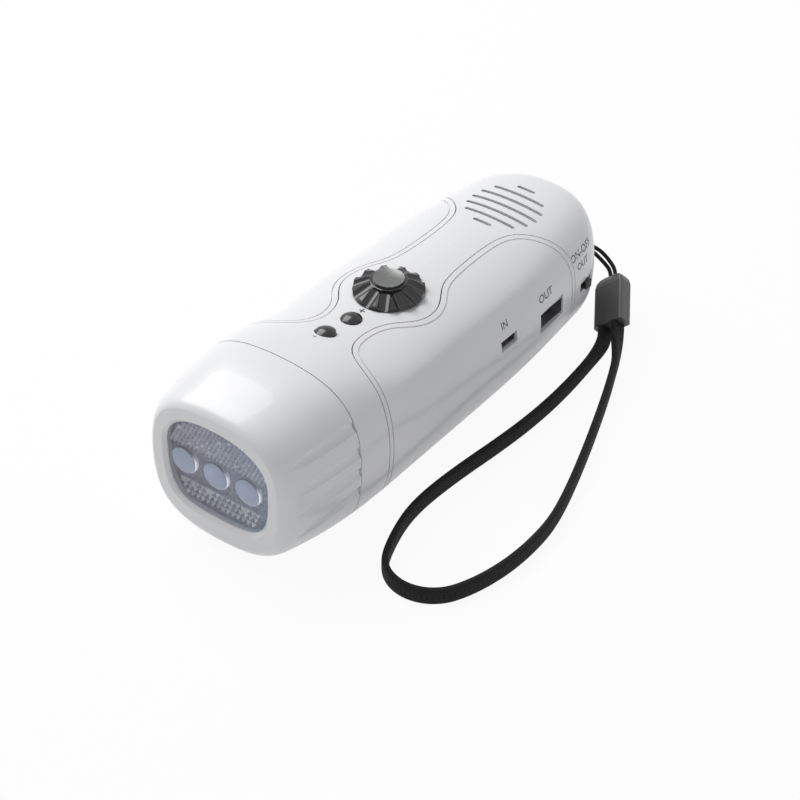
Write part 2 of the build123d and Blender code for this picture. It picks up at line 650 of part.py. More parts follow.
def make_chips():
    """Integrated circuits and other parts standing on the boards."""
    top = POWER_BOARD_Z + BOARD_THICKNESS
    under = CONTROL_BOARD_Z
    return [
        block((8, 14), (108, 116), (top, top + 1.4)),
        block((7, 12), (121, 126), (top, top + 1.2)),
        post(17, 121, (top, top + 3.0), 2.5),
        block((-9, -2), (60, 70), (under - 1.5, under)),
        block((3, 9), (74, 80), (under - 1.2, under)),
    ]


def make_control_board():
    """Radio and button board under the top."""
    return block((-13, 13), (47, 102), (CONTROL_BOARD_Z, CONTROL_BOARD_Z + BOARD_THICKNESS))


def make_switch_body():
    """Slide switch box behind the slot, with the pocket that its lever runs in."""
    inner = side_x(SWITCH_Y + 6, SWITCH_Z, INNER) - CLEARANCE
    box = block((inner - 6, inner), (SWITCH_Y - 7, SWITCH_Y + 6), (SWITCH_Z - 4, SWITCH_Z + 4))
    reach = SWITCH_LEVER[0] / 2 + SWITCH_TRAVEL + 1.1
    pocket = (SWITCH_Z - 2.4, SWITCH_Z + 2.4)
    return box - block((inner - 2.5, inner + 1), (SWITCH_Y - reach, SWITCH_Y + reach), pocket)


def make_switch_lever():
    """The lever, with a foot in the switch and a ribbed tip outside."""
    inner = side_x(SWITCH_Y + 6, SWITCH_Z, INNER) - CLEARANCE
    tip = side_x(SWITCH_Y, SWITCH_Z) + SWITCH_PROUD
    half, height = SWITCH_LEVER[0] / 2, SWITCH_LEVER[1] / 2
    rise = (SWITCH_Z - height, SWITCH_Z + height)
    lever = block((inner - 2.2, tip), (SWITCH_Y - half, SWITCH_Y + half), rise)
    half += 0.8
    reach = (SWITCH_Y - half, SWITCH_Y + half)
    foot = block((inner - 2.3, inner - 0.4), reach, (SWITCH_Z - 2.2, SWITCH_Z + 2.2))
    for middle in (SWITCH_Y - 0.8, SWITCH_Y, SWITCH_Y + 0.8):
        lever -= block((tip - 0.3, tip + 1), (middle - 0.15, middle + 0.15), (SWITCH_Z - 3, SWITCH_Z + 3))
    return lever + foot


# ---------------------------------------------------------------- gears
DRIVE_R = MODULE * DRIVE_TEETH / 2
WHEEL_R = MODULE * WHEEL_TEETH / 2
PINION_R = MODULE * PINION_TEETH / 2
COMPOUND_Y = CRANK_Y - (DRIVE_R + PINION_R) * cos(radians(COMPOUND_ANGLE))
COMPOUND_Z = CRANK_Z + (DRIVE_R + PINION_R) * sin(radians(COMPOUND_ANGLE))
DYNAMO_Y = COMPOUND_Y - (WHEEL_R + PINION_R) * cos(radians(DYNAMO_ANGLE))
DYNAMO_Z = COMPOUND_Z + (WHEEL_R + PINION_R) * sin(radians(DYNAMO_ANGLE))
OUTER_PLATE_X = -HALF_WIDTH + GEARBOX_DEPTH  # outer face of the outer plate
DRIVE_X = OUTER_PLATE_X + PLATE + GEAR_GAP  # outer face of the drive gear
WHEEL_X = DRIVE_X + DRIVE_WIDTH + GEAR_GAP
INNER_PLATE_X = WHEEL_X + WHEEL_WIDTH + GEAR_GAP
DYNAMO_X = INNER_PLATE_X + PLATE
BUSH_RADIUS = SHAFT_RADIUS + 1.5
PLATE_Y = (44.0, CRANK_Y + DRIVE_R + 5)
PLATE_Z = (9.5, 37.0)
GEARBOX_POSTS = [(50.0, 34.0), (CRANK_Y + 15.5, 12.5), (CRANK_Y + 15.5, 34.0)]
ARBOR_RADIUS = 1.5
DYNAMO_SHAFT_RADIUS = 1.0


def involute(base, radius):
    """Angle that the involute of a base circle has turned through at a radius."""
    roll = sqrt(max((radius / base) ** 2 - 1, 0.0))
    return roll - atan2(roll, 1)


def gear(teeth, width, bore, centre, face_x, tooth_angle):
    """Spur gear across X. One tooth points along tooth_angle, measured from +Y towards +Z."""
    pitch = MODULE * teeth / 2
    base = pitch * cos(radians(PRESSURE_ANGLE))
    root, tip = pitch - 1.2 * MODULE, pitch + 0.9 * MODULE
    flank = tan(radians(PRESSURE_ANGLE)) - radians(PRESSURE_ANGLE)
    half = (pi * MODULE / 2 - BACKLASH) / 2 / pitch  # half a tooth at the pitch circle
    levels = [max(base, root), (max(base, root) + pitch) / 2, pitch, (pitch + tip) / 2, tip]
    side = [(root, half + flank)] if root < base else []
    for level in levels:
        side.append((level, half + flank - involute(base, level)))
    outline = []
    for i in range(teeth):
        middle = radians(tooth_angle) + 2 * pi * i / teeth
        for radius, angle in side:
            outline.append((radius * cos(middle - angle), radius * sin(middle - angle)))
        for radius, angle in reversed(side):
            outline.append((radius * cos(middle + angle), radius * sin(middle + angle)))
    face = make_face(Polyline(*outline, close=True).edges())
    frame = Plane(origin=(face_x, *centre), x_dir=(0, 1, 0), z_dir=(1, 0, 0))
    return frame * (extrude(face, width) - Pos(0, 0, width / 2) * Cylinder(bore, width + 2))


def gear_face_angle():
    """Directions from the crank to the compound gear, and from it to the dynamo, from +Y to +Z."""
    first = degrees(atan2(COMPOUND_Z - CRANK_Z, COMPOUND_Y - CRANK_Y))
    second = degrees(atan2(DYNAMO_Z - COMPOUND_Z, DYNAMO_Y - COMPOUND_Y))
    return first, second


def make_drive_gear():
    """Large gear fixed on the crank's shaft, with lightening holes."""
    first, _ = gear_face_angle()
    wheel = gear(DRIVE_TEETH, DRIVE_WIDTH, SHAFT_RADIUS, (CRANK_Y, CRANK_Z), DRIVE_X, first)
    for i in range(6):
        angle = 2 * pi * i / 6
        y, z = CRANK_Y + 8.4 * cos(angle), CRANK_Z + 8.4 * sin(angle)
        wheel -= bar_x(y, z, (DRIVE_X - 1, DRIVE_X + DRIVE_WIDTH + 1), 2.6)
    return wheel


def make_compound_gear():
    """Small pinion driven by the crank, and the wheel that drives the dynamo, in one piece."""
    first, second = gear_face_angle()
    gap = 180 / PINION_TEETH
    centre = (COMPOUND_Y, COMPOUND_Z)
    bore = ARBOR_RADIUS + RUNNING_GAP
    pinion = gear(PINION_TEETH, DRIVE_WIDTH + GEAR_GAP, bore, centre, DRIVE_X, first + 180 + gap)
    return pinion + gear(WHEEL_TEETH, WHEEL_WIDTH, bore, centre, WHEEL_X, second)


def make_dynamo_pinion():
    """Pinion pressed on the dynamo's shaft."""
    _, second = gear_face_angle()
    angle = second + 180 + 180 / PINION_TEETH
    return gear(PINION_TEETH, WHEEL_WIDTH, DYNAMO_SHAFT_RADIUS, (DYNAMO_Y, DYNAMO_Z), WHEEL_X, angle)


def make_plate(x):
    """A gearbox plate with its corners rounded, without bores."""
    plate = block((x, x + PLATE), PLATE_Y, PLATE_Z)
    return fillet(plate.edges().filter_by(Axis.X), 4)


def make_gearbox_plates():
    """Outer and inner plates, the outer one with spacers that carry the inner one."""
    outer = make_plate(OUTER_PLATE_X)
    inner = make_plate(INNER_PLATE_X)
    for y, z in GEARBOX_POSTS:
        outer += bar_x(y, z, (OUTER_PLATE_X + PLATE - 0.1, INNER_PLATE_X), GEARBOX_POST_RADIUS)
    for y, z in GEARBOX_POSTS:
        outer -= bar_x(y, z, (OUTER_PLATE_X - 1, INNER_PLATE_X + 1), SCREW_RADIUS + SEAT_GAP)
        inner -= bar_x(y, z, (INNER_PLATE_X - 1, DYNAMO_X + 1), SCREW_RADIUS + SEAT_GAP)
    span = (OUTER_PLATE_X - 1, DYNAMO_X + 1)
    bores = [
        bar_x(CRANK_Y, CRANK_Z, span, SHAFT_RADIUS + RUNNING_GAP),
        bar_x(COMPOUND_Y, COMPOUND_Z, span, ARBOR_RADIUS),
        bar_x(DYNAMO_Y, DYNAMO_Z, span, DYNAMO_SHAFT_RADIUS + RUNNING_GAP),
    ]
    for bore in bores:
        outer -= bore
        inner -= bore
    return outer, inner


def make_gearbox_screws():
    """Screws through both plates into the panel's posts."""
    screws = []
    for y, z in GEARBOX_POSTS:
        head = bar_x(y, z, (DYNAMO_X, DYNAMO_X + 1.4), SCREW_HEAD_RADIUS)
        screws.append(head + bar_x(y, z, (OUTER_PLATE_X - 4, DYNAMO_X + 0.1), SCREW_RADIUS))
    return screws


def make_dynamo():
    """Round generator can on the inner plate."""
    can = bar_x(DYNAMO_Y, DYNAMO_Z, (DYNAMO_X, DYNAMO_X + DYNAMO_LENGTH), DYNAMO_RADIUS)
    end = DYNAMO_X + DYNAMO_LENGTH
    can += bar_x(DYNAMO_Y, DYNAMO_Z, (end - 0.1, end + 1.2), 4.5)
    return can - bar_x(DYNAMO_Y, DYNAMO_Z, (DYNAMO_X - 1, DYNAMO_X + 8), DYNAMO_SHAFT_RADIUS + RUNNING_GAP)


# ---------------------------------------------------------------- crank
SIDE_FACE = -side_x(CRANK_Y, CRANK_Z) - 0.1
ARM_IN = SIDE_FACE - ARM_GAP  # inner face of the arm
ARM_OUT = ARM_IN - ARM_THICKNESS
GRIP_X = (ARM_IN + ARM_OUT) / 2
HINGE_Y = CRANK_Y + ARM_RADIUS
YOKE_RADIUS = 2.6
SLOT_HALF = GRIP_RADIUS + 0.5


def make_crank_arm():
    """Arm with a round hub, and a window that the handle folds into."""
    thickness = abs(ARM_OUT - ARM_IN)
    frame = Plane(origin=(ARM_IN, CRANK_Y, CRANK_Z), x_dir=(0, 1, 0), z_dir=(-1, 0, 0))
    outline = Circle(HUB_RADIUS)
    outline += Pos(ARM_RADIUS / 2, 0) * Rectangle(ARM_RADIUS, 2 * ARM_HALF_WIDTH)
    outline += Pos(ARM_RADIUS, 0) * Circle(ARM_HALF_WIDTH)
    window_start = ARM_RADIUS - YOKE_RADIUS - GRIP_LENGTH - 2.6
    window_end = ARM_RADIUS + YOKE_RADIUS + 0.5
    window = RectangleRounded(window_end - window_start, 2 * SLOT_HALF, 1.0)
    window = Pos((window_start + window_end) / 2, 0) * window
    arm = frame * extrude(outline - window, thickness)
    rim = arm.faces().filter_by(Plane.YZ).sort_by(Axis.X)[0].outer_wire().edges()
    arm = chamfer(rim, 0.7)
    arm -= bar_x(CRANK_Y, CRANK_Z, (ARM_IN + 1, ARM_IN - 2.4), SHAFT_RADIUS)
    arm -= bar_x(CRANK_Y, CRANK_Z, (ARM_IN + 1, ARM_OUT - 1), SCREW_RADIUS + 0.1)
    arm -= bar_x(CRANK_Y, CRANK_Z, (ARM_OUT + 2.0, ARM_OUT - 1), 5.0)
    reach = ARM_HALF_WIDTH - HINGE_INSET
    return arm - post(GRIP_X, HINGE_Y, (CRANK_Z - reach, CRANK_Z + reach), HINGE_RADIUS)


def make_crank_screw():
    """Screw that draws the hub onto the shaft."""
    head = bar_x(CRANK_Y, CRANK_Z, (ARM_OUT + 2.0, ARM_OUT + 1.0), 3.2)
    return head + bar_x(CRANK_Y, CRANK_Z, (ARM_OUT + 1.9, ARM_IN + 4), SCREW_RADIUS)


def make_hub_cap():
    """Thin disc that covers the screw."""
    return bar_x(CRANK_Y, CRANK_Z, (ARM_OUT + 0.9, ARM_OUT + 0.1), 4.9)


def make_crank_shaft():
    """Shaft from the hub through the bush to the inner plate."""
    shaft = bar_x(CRANK_Y, CRANK_Z, (ARM_IN - 2.3, DYNAMO_X - 0.2), SHAFT_RADIUS)
    return shaft - bar_x(CRANK_Y, CRANK_Z, (ARM_IN - 3, ARM_IN + 5), SCREW_RADIUS)


def make_bush():
    """Bush in the side panel."""
    sleeve = bar_x(CRANK_Y, CRANK_Z, (SIDE_FACE - 0.3, OUTER_PLATE_X), BUSH_RADIUS)
    return sleeve - bar_x(CRANK_Y, CRANK_Z, (SIDE_FACE - 1, OUTER_PLATE_X + 1), SHAFT_RADIUS + RUNNING_GAP)


def make_handle():
    """Hinge pin, yoke, spindle and spinning grip, folded into the arm."""
    reach = ARM_HALF_WIDTH - HINGE_INSET
    pin = post(GRIP_X, HINGE_Y, (CRANK_Z - reach, CRANK_Z + reach), HINGE_RADIUS)
    half = SLOT_HALF - 0.25
    neck = (HINGE_Y - YOKE_RADIUS - 0.6, HINGE_Y)
    yoke = post(GRIP_X, HINGE_Y, (CRANK_Z - half, CRANK_Z + half), YOKE_RADIUS)
    yoke += bar_y(GRIP_X, CRANK_Z, neck, 2.2)
    yoke -= post(GRIP_X, HINGE_Y, (CRANK_Z - half - 1, CRANK_Z + half + 1), HINGE_RADIUS + RUNNING_GAP)
    root = neck[0]
    tip = root - GRIP_LENGTH - 0.5
    spindle = bar_y(GRIP_X, CRANK_Z, (tip - 0.8, root), SPINDLE_RADIUS)
    spindle += bar_y(GRIP_X, CRANK_Z, (tip - 1.0, tip), 2.1)
    grip = bar_y(GRIP_X, CRANK_Z, (root - 0.25, root - 0.25 - GRIP_LENGTH), GRIP_RADIUS)
    grip = chamfer(grip.edges().filter_by(GeomType.CIRCLE), 0.6)
    for i in range(8):
        angle = 2 * pi * i / 8
        out = GRIP_RADIUS + 0.45
        groove = (root - 3.2, root - GRIP_LENGTH + 2.8)
        grip -= bar_y(GRIP_X + out * cos(angle), CRANK_Z + out * sin(angle), groove, 0.8)
    grip -= bar_y(GRIP_X, CRANK_Z, (root + 1, tip - 1), SPINDLE_RADIUS + RUNNING_GAP)
    return pin, yoke, spindle, grip


# ---------------------------------------------------------------- cell
def make_cell():
    """Rechargeable cell with its button end."""
    cell = bar_y(0, CELL_Z, (CELL_Y, CELL_Y + CELL_LENGTH - 1), CELL_RADIUS)
    return cell + bar_y(0, CELL_Z, (CELL_Y + CELL_LENGTH - 1.1, CELL_Y + CELL_LENGTH), 2.6)


def make_cell_holder():
    """Cradle on the floor of the lower shell."""
    y = (CELL_Y - 1.6, CELL_Y + CELL_LENGTH + 0.9)
    half = CELL_RADIUS + 1.9
    floor = skin((half, y[1], CELL_Z), (0, 0, -1), INNER)[0].Z + SEAT_GAP
    bed = (CELL_Y - 0.1, CELL_Y + CELL_LENGTH + 0.1)
    tray = block((-half, half), y, (floor, CELL_Z + 1))
    tray -= bar_y(0, CELL_Z, bed, CELL_RADIUS + 0.1)
    return tray - block((-CELL_RADIUS, CELL_RADIUS), bed, (CELL_Z, CELL_Z + 3))


# ---------------------------------------------------------------- strap
def tube(route, diameter, label):
    """A round tube of straight runs joined by the largest arcs that the runs allow."""
    points = [Vector(*p) for p in route]
    runs = [b - a for a, b in zip(points, points[1:])]
    radii = []
    for before, after in zip(runs, runs[1:]):
        turn = radians(before.get_angle(after))
        radii.append(0.45 * min(before.length, after.length) / tan(turn / 2))
    print(label, "radii", [round(r, 1) for r in radii])
    path = FilletPolyline(*points, radius=radii)
    start = Plane(origin=points[0], z_dir=runs[0])
    solid = sweep(start * Circle(diameter / 2), path=path.wire())
    expected = pi * diameter**2 / 4 * path.length
    print(label, "length", round(path.length, 1), "volume", round(solid.volume), "of", round(expected))
    return solid


HEADING = Vector(*FERRULE_HEADING).normalized()
LEVEL = Vector(-HEADING.Y, HEADING.X, 0).normalized()
FERRULE_UP = HEADING.cross(LEVEL)
FERRULE_WIDE = LEVEL * cos(radians(FERRULE_ROLL)) + FERRULE_UP * sin(radians(FERRULE_ROLL))


def ferrule_ring(height, width, thickness):
    """One section of the ferrule's domed end, as shares of its full section."""
    outline = RectangleRounded(FERRULE_WIDTH * width, FERRULE_THICKNESS * thickness, FERRULE_EDGE * thickness)
    return (Pos(0, 0, FERRULE_LENGTH + FERRULE_DOME * height) * outline).face()


def make_ferrule():
    """Slider that gathers the strap and the thin loop."""
    frame = Plane(origin=FERRULE_FRONT, x_dir=FERRULE_WIDE, z_dir=HEADING * -1)
    body = extrude(RectangleRounded(FERRULE_WIDTH, FERRULE_THICKNESS, FERRULE_EDGE), FERRULE_LENGTH)
    rings = [(0, 1.0, 1.0), (0.45, 0.93, 0.92), (0.8, 0.76, 0.76), (1.0, 0.52, 0.56)]
    for lower, upper in zip(rings, rings[1:]):
        body += loft([ferrule_ring(*lower), ferrule_ring(*upper)])
    return frame * body


def make_strap():
    """Wrist strap, from one side of the ferrule's mouth round to the other."""
    front = Vector(*FERRULE_FRONT)
    side = FERRULE_WIDE * (STRAP_THICKNESS / 2 + 0.1)
    low, high = front - side, front + side
    floor = [Vector(x, y, STRAP_Z) for x, y in STRAP_ROUTE]
    route = [low, low + HEADING * 2.7, *floor, high + HEADING * FERRULE_DROP, high]
    return tube(route, STRAP_THICKNESS, "strap")


def make_loop():
    """Thin cord from the ferrule, round the pin in the tail's eye and back."""
    back = Vector(*FERRULE_FRONT) - HEADING * (FERRULE_LENGTH + FERRULE_DOME + SEAT_GAP)
    round_pin = EYE_PIN_RADIUS + LOOP_CORD / 2 + SEAT_GAP
    middle = [back, back - HEADING * LOOP_LEAD, *(Vector(*p) for p in LOOP_ROUTE)]
    legs = []
    for side in (1, -1):
        leg = []
        for i, spread in enumerate(LOOP_SPREAD):
            along = HEADING * -1 if i == 0 else middle[i] - middle[i - 1]
            leg.append(middle[i] + Vector(along.Y, -along.X, 0).normalized() * (side * spread))
        beside = EYE_PIN_AT + EYE_ACROSS * (side * round_pin)
        legs.append([*leg, beside + EYE_OUT * (EYE_PIN_DEPTH + 1.8), beside - EYE_OUT * round_pin])
    return tube(legs[0] + legs[1][::-1], LOOP_CORD, "loop")


def make_eye_pin():
    """Pin across the strap eye."""
    return post(EYE_PIN_AT.X, EYE_PIN_AT.Y, (EYE_Z - 5.3, EYE_Z + 5.3), EYE_PIN_RADIUS)


def main():
    """Builds and writes every node."""
    save("bezel", make_bezel())
    save("lens", make_lens())
    save("lens_gasket", make_gasket())
    save("reflector", make_reflector())
    for name, x in zip(("led_left", "led_centre", "led_right"), LAMP_X):
        save(name, make_lamp(x))
    save("led_board", make_lamp_board())
    save("upper_shell", make_upper_shell())
    save("side_panel_right", make_right_panel())
    save("side_panel_left", make_left_panel())
    save("lower_shell", make_lower_shell())
    save("shell_screws", *make_shell_screws())
    save("tuning_knob", make_knob())
    save("knob_cap", make_knob_cap())
    save("pot_body", make_pot())
    save("pot_shaft", make_pot_shaft())
    save("button_minus", make_button(MINUS_Y))
    save("button_plus", make_button(PLUS_Y))
    save("tact_switches", make_tact_switch(MINUS_Y), make_tact_switch(PLUS_Y))
    save("control_board", make_control_board())
    save("board_chips", *make_chips())
    for name, solid in zip(("frame", "cone", "magnet", "cloth"), make_speaker()):
        save("speaker_" + name, solid)
    save("power_board", make_power_board())
    save("usb_a_socket", shell_tube(USB_A_Y, USB_A_Z, USB_A_SHELL, USB_A_DEPTH, USB_A_FRONT))
    save("usb_a_tongue", make_usb_a_tongue())
    save("micro_usb_socket", shell_tube(MICRO_Y, MICRO_Z, MICRO_SHELL, MICRO_DEPTH, MICRO_FRONT))
    save("micro_usb_tongue", make_micro_tongue())
    save("slide_switch_body", make_switch_body())
    save("switch_slider", make_switch_lever())
    save("drive_gear", make_drive_gear())
    save("compound_gear", make_compound_gear())
    save("gear_pin", bar_x(COMPOUND_Y, COMPOUND_Z, (OUTER_PLATE_X, DYNAMO_X), ARBOR_RADIUS))
    save("dynamo_pinion", make_dynamo_pinion())
    save("dynamo_shaft", bar_x(DYNAMO_Y, DYNAMO_Z, (OUTER_PLATE_X, DYNAMO_X + 7.8), DYNAMO_SHAFT_RADIUS))
    save("dynamo_can", make_dynamo())
    outer_plate, inner_plate = make_gearbox_plates()
    save("gearbox_base", outer_plate)
    save("gearbox_cover", inner_plate)
    save("gearbox_screws", *make_gearbox_screws())
    save("crank_shaft", make_crank_shaft())
    save("shaft_bush", make_bush())
    save("crank_arm", make_crank_arm())
    save("crank_screw", make_crank_screw())
    save("hub_cap", make_hub_cap())
    for name, solid in zip(("hinge_pin", "yoke", "spindle", "grip"), make_handle()):
        save("handle_" + name, solid)
    save("battery_cell", make_cell())
    save("battery_holder", make_cell_holder())
    save("strap_anchor_pin", make_eye_pin())
    save("strap_ferrule", make_ferrule())
    save("strap_cord", make_strap())
    save("strap_loop", make_loop())


main()
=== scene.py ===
"""Looks of the hand crank flashlight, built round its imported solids.

Metres, +Z up, +Y from the lens to the tail, and the origin under the middle of the torch.
"""

import logging
import math
import random
from collections.abc import Callable
from dataclasses import dataclass, field
from enum import Enum

import bmesh
import bpy
from mathutils import Matrix, Vector
from mathutils.bvhtree import BVHTree


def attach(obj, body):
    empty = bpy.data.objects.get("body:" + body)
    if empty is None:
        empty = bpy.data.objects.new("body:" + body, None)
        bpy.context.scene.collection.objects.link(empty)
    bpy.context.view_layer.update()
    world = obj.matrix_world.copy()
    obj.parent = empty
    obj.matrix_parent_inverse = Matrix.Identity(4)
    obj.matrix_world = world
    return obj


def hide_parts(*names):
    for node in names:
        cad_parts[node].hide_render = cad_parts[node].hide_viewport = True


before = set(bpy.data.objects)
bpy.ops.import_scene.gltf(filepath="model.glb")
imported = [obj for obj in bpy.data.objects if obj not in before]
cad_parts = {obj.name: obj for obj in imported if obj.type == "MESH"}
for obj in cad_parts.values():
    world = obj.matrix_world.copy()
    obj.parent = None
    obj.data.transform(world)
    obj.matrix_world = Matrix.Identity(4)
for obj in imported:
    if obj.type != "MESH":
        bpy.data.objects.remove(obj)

LOG = logging.getLogger("flashlight")
MM = 0.001
NOSE_Y = -90.8  # millimetres, the nose in the row frame
Number = float | int
Colour = tuple[float, float, float]


def at(x: float, y: float, z: float) -> Vector:
    """Turns millimetres measured from the nose into a point of the row frame.

    Args:
        x: Distance to the side with the sockets.
        y: Distance behind the nose.
        z: Height over the floor.

    Returns:
        The point in metres.
    """
    return Vector((x * MM, (y + NOSE_Y) * MM, z * MM))


# ---------------------------------------------------------------- shader maths
class Value:
    """A socket that takes part in sums written in Python."""

    def __init__(self, nodes: "Nodes", socket: bpy.types.NodeSocket) -> None:
        """Keeps the socket and the tree that it belongs to."""
        self.nodes = nodes
        self.socket = socket

    def _join(self, operation: str, first: "Value | Number", second: "Value | Number") -> "Value":
        """Adds one Math node."""
        return self.nodes.node("ShaderNodeMath", {"operation": operation}, {0: first, 1: second})[0]

    def __add__(self, other: "Value | Number") -> "Value":
        """Sum."""
        return self._join("ADD", self, other)

    __radd__ = __add__

    def __sub__(self, other: "Value | Number") -> "Value":
        """Difference."""
        return self._join("SUBTRACT", self, other)

    def __rsub__(self, other: Number) -> "Value":
        """Difference, the other way round."""
        return self._join("SUBTRACT", other, self)

    def __mul__(self, other: "Value | Number") -> "Value":
        """Product."""
        return self._join("MULTIPLY", self, other)

    __rmul__ = __mul__

    def __truediv__(self, other: "Value | Number") -> "Value":
        """Quotient."""
        return self._join("DIVIDE", self, other)

    def __pow__(self, other: Number) -> "Value":
        """Power."""
        return self._join("POWER", self, other)

    def over(self, level: Number) -> "Value":
        """One where the value passes a level, and nought elsewhere."""
        return self._join("GREATER_THAN", self, level)

    def wave(self) -> "Value":
        """Sine of the value, in radians."""
        return self._join("SINE", self, 0.0)

    def size(self) -> "Value":
        """The value without its sign."""
        return self._join("ABSOLUTE", self, 0.0)

    def higher(self, other: "Value | Number") -> "Value":
        """The larger of two values."""
        return self._join("MAXIMUM", self, other)

    def lower(self, other: "Value | Number") -> "Value":
        """The smaller of two values."""
        return self._join("MINIMUM", self, other)

    def part(self) -> "Value":
        """The value's fraction."""
        return self._join("FRACT", self, 0.0)

    def clamped(self) -> "Value":
        """The value kept between nought and one."""
        return self.higher(0.0).lower(1.0)


class Nodes:
    """The node tree of one material."""

    def __init__(self, name: str) -> None:
        """Starts an empty material of that name."""
        self.material = bpy.data.materials.new(name)
        self.material.use_nodes = True
        self.tree = self.material.node_tree
        self.tree.nodes.clear()

    def node(
        self, kind: str, settings: dict[str, object], inputs: dict[int | str, object]
    ) -> list[Value]:
        """Adds a node of any type.

        Args:
            kind: The node's type name.
            settings: Properties, set before the sockets.
            inputs: Values or links of its sockets, by name or place.

        Returns:
            The node's outputs.
        """
        made = self.tree.nodes.new(kind)
        for name, setting in settings.items():
            if name == "stops":
                self._stops(made.color_ramp, setting)
            else:
                setattr(made, name, setting)
        for key, value in inputs.items():
            socket = made.inputs[key]
            if isinstance(value, Value):
                self.tree.links.new(value.socket, socket)
            elif hasattr(socket.default_value, "__len__") and len(value) == 3 < len(socket.default_value):
                socket.default_value = (*value, 1.0)
            else:
                socket.default_value = value
        return [Value(self, output) for output in made.outputs if output.enabled]

    @staticmethod
    def _stops(ramp: bpy.types.ColorRamp, stops: list[tuple[float, Colour]]) -> None:
        """Gives a colour ramp its stops."""
        while len(ramp.elements) < len(stops):
            ramp.elements.new(0.5)
        for element, (place, colour) in zip(ramp.elements, stops):
            element.position = place
            element.color = (*colour, 1.0)

    def place(self) -> Value:
        """Object coordinates, which are the row frame's metres."""
        return self.named_output("ShaderNodeTexCoord", "Object")

    def named_attribute(self, name: str) -> Value:
        """A value that the piece's own mesh carries."""
        node = self.tree.nodes.new("ShaderNodeAttribute")
        node.attribute_name = name
        return Value(self, node.outputs["Fac"])

    def own_map(self) -> Value:
        """The piece's own UV map."""
        return self.named_output("ShaderNodeTexCoord", "UV")

    def named_output(self, kind: str, name: str) -> Value:
        """One output of a node without settings."""
        return Value(self, self.tree.nodes.new(kind).outputs[name])

    def apart(self, vector: Value) -> list[Value]:
        """The three parts of a vector."""
        return self.node("ShaderNodeSeparateXYZ", {}, {0: vector})

    def noise(self, scale: float, detail: float = 3.0, where: Value | None = None) -> Value:
        """Noise between nought and one, with its features about 1/scale metres wide."""
        settings = {"noise_dimensions": "3D"}
        inputs = {"Vector": where or self.place(), "Scale": scale, "Detail": detail}
        return self.node("ShaderNodeTexNoise", settings, inputs)[0]

    def blend(self, share: Value, low: object, high: object) -> Value:
        """A colour between two others."""
        inputs = {"Factor": share, 6: low, 7: high}
        made = self.tree.nodes.new("ShaderNodeMix")
        made.data_type = "RGBA"
        for key, value in inputs.items():
            socket = made.inputs[0] if key == "Factor" else made.inputs[key]
            if isinstance(value, Value):
                self.tree.links.new(value.socket, socket)
            else:
                socket.default_value = (*value, 1.0)
        return Value(self, made.outputs[2])

    def bump(self, height: Value, depth: float, strength: float = 1.0) -> Value:
        """A normal from a height, depth metres deep."""
        return self.node("ShaderNodeBump", {}, {"Strength": strength, "Distance": depth, "Height": height})[0]

    def surface(self, inputs: dict[int | str, object]) -> bpy.types.Material:
        """Finishes the material with one principled shader."""
        shader = self.node("ShaderNodeBsdfPrincipled", {}, inputs)[0]
        self.node("ShaderNodeOutputMaterial", {}, {"Surface": shader})
        return self.material


# ---------------------------------------------------------------- finishes
@dataclass(frozen=True)
class MouldedPlastic:
    """Injection moulded plastic with a faint orange peel and handling marks."""

    name: str
    colour: Colour
    roughness: float = 0.3
    coat: float = 0.0
    peel: float = 0.000004
    grain: float = 0.0
    mottle: float = 0.03

    def build(self) -> bpy.types.Material:
        """Makes the material."""
        nodes = Nodes(self.name)
        broad = nodes.noise(22.0, 2.0)
        fine = nodes.noise(900.0, 2.0)
        scuffs = (nodes.noise(160.0, 6.0) - 0.62).clamped() * 2.2
        shade = tuple(c * (1 - self.mottle) for c in self.colour)
        colour = nodes.blend(broad, shade, self.colour)
        roughness = scuffs * 0.18 + (broad * 0.06 + (self.roughness - 0.03))
        height = fine * 1.0
        if self.grain:
            height = fine + nodes.noise(5200.0, 1.0) * self.grain
        normal = nodes.bump(height, self.peel)
        return nodes.surface(
            {
                "Base Color": colour,
                "Roughness": roughness,
                "Normal": normal,
                "Coat Weight": self.coat,
                "Coat Roughness": 0.06,
                "IOR": 1.5,
            }
        )


@dataclass(frozen=True)
class WorkedMetal:
    """Plated, drawn or turned metal with a fine directional brush."""

    name: str
    colour: Colour
    roughness: float = 0.28
    stretch: Colour = (1.0, 1.0, 14.0)

    def build(self) -> bpy.types.Material:
        """Makes the material."""
        nodes = Nodes(self.name)
        mapping = nodes.node("ShaderNodeMapping", {}, {"Vector": nodes.place(), "Scale": self.stretch})[0]
        brush = nodes.noise(700.0, 3.0, mapping)
        tarnish = nodes.noise(60.0, 4.0)
        dull = tuple(c * 0.82 for c in self.colour)
        return nodes.surface(
            {
                "Base Color": nodes.blend(tarnish, dull, self.colour),
                "Metallic": 1.0,
                "Roughness": brush * 0.16 + (tarnish * 0.08 + (self.roughness - 0.12)),
                "Normal": nodes.bump(brush, 0.000003),
            }
        )


@dataclass(frozen=True)
class ClearAcrylic:
    """Clear plastic with a blue cast, seen through by its alpha."""

    name: str
    colour: Colour
    alpha: float
    roughness: float = 0.06

    def build(self) -> bpy.types.Material:
        """Makes the material."""
        nodes = Nodes(self.name)
        ripple = nodes.noise(240.0, 2.0)
        haze = nodes.noise(90.0, 4.0)
        deep = (self.colour[0] * 0.86, self.colour[1] * 0.9, self.colour[2])
        return nodes.surface(
            {
                "Base Color": nodes.blend(haze, deep, self.colour),
                "Roughness": haze * 0.05 + (self.roughness - 0.02),
                "Alpha": haze * 0.14 + (self.alpha - 0.07),
                "Normal": nodes.bump(ripple, 0.00002),
                "Coat Weight": 0.6,
                "Coat Roughness": 0.04,
                "IOR": 1.49,
            }
        )


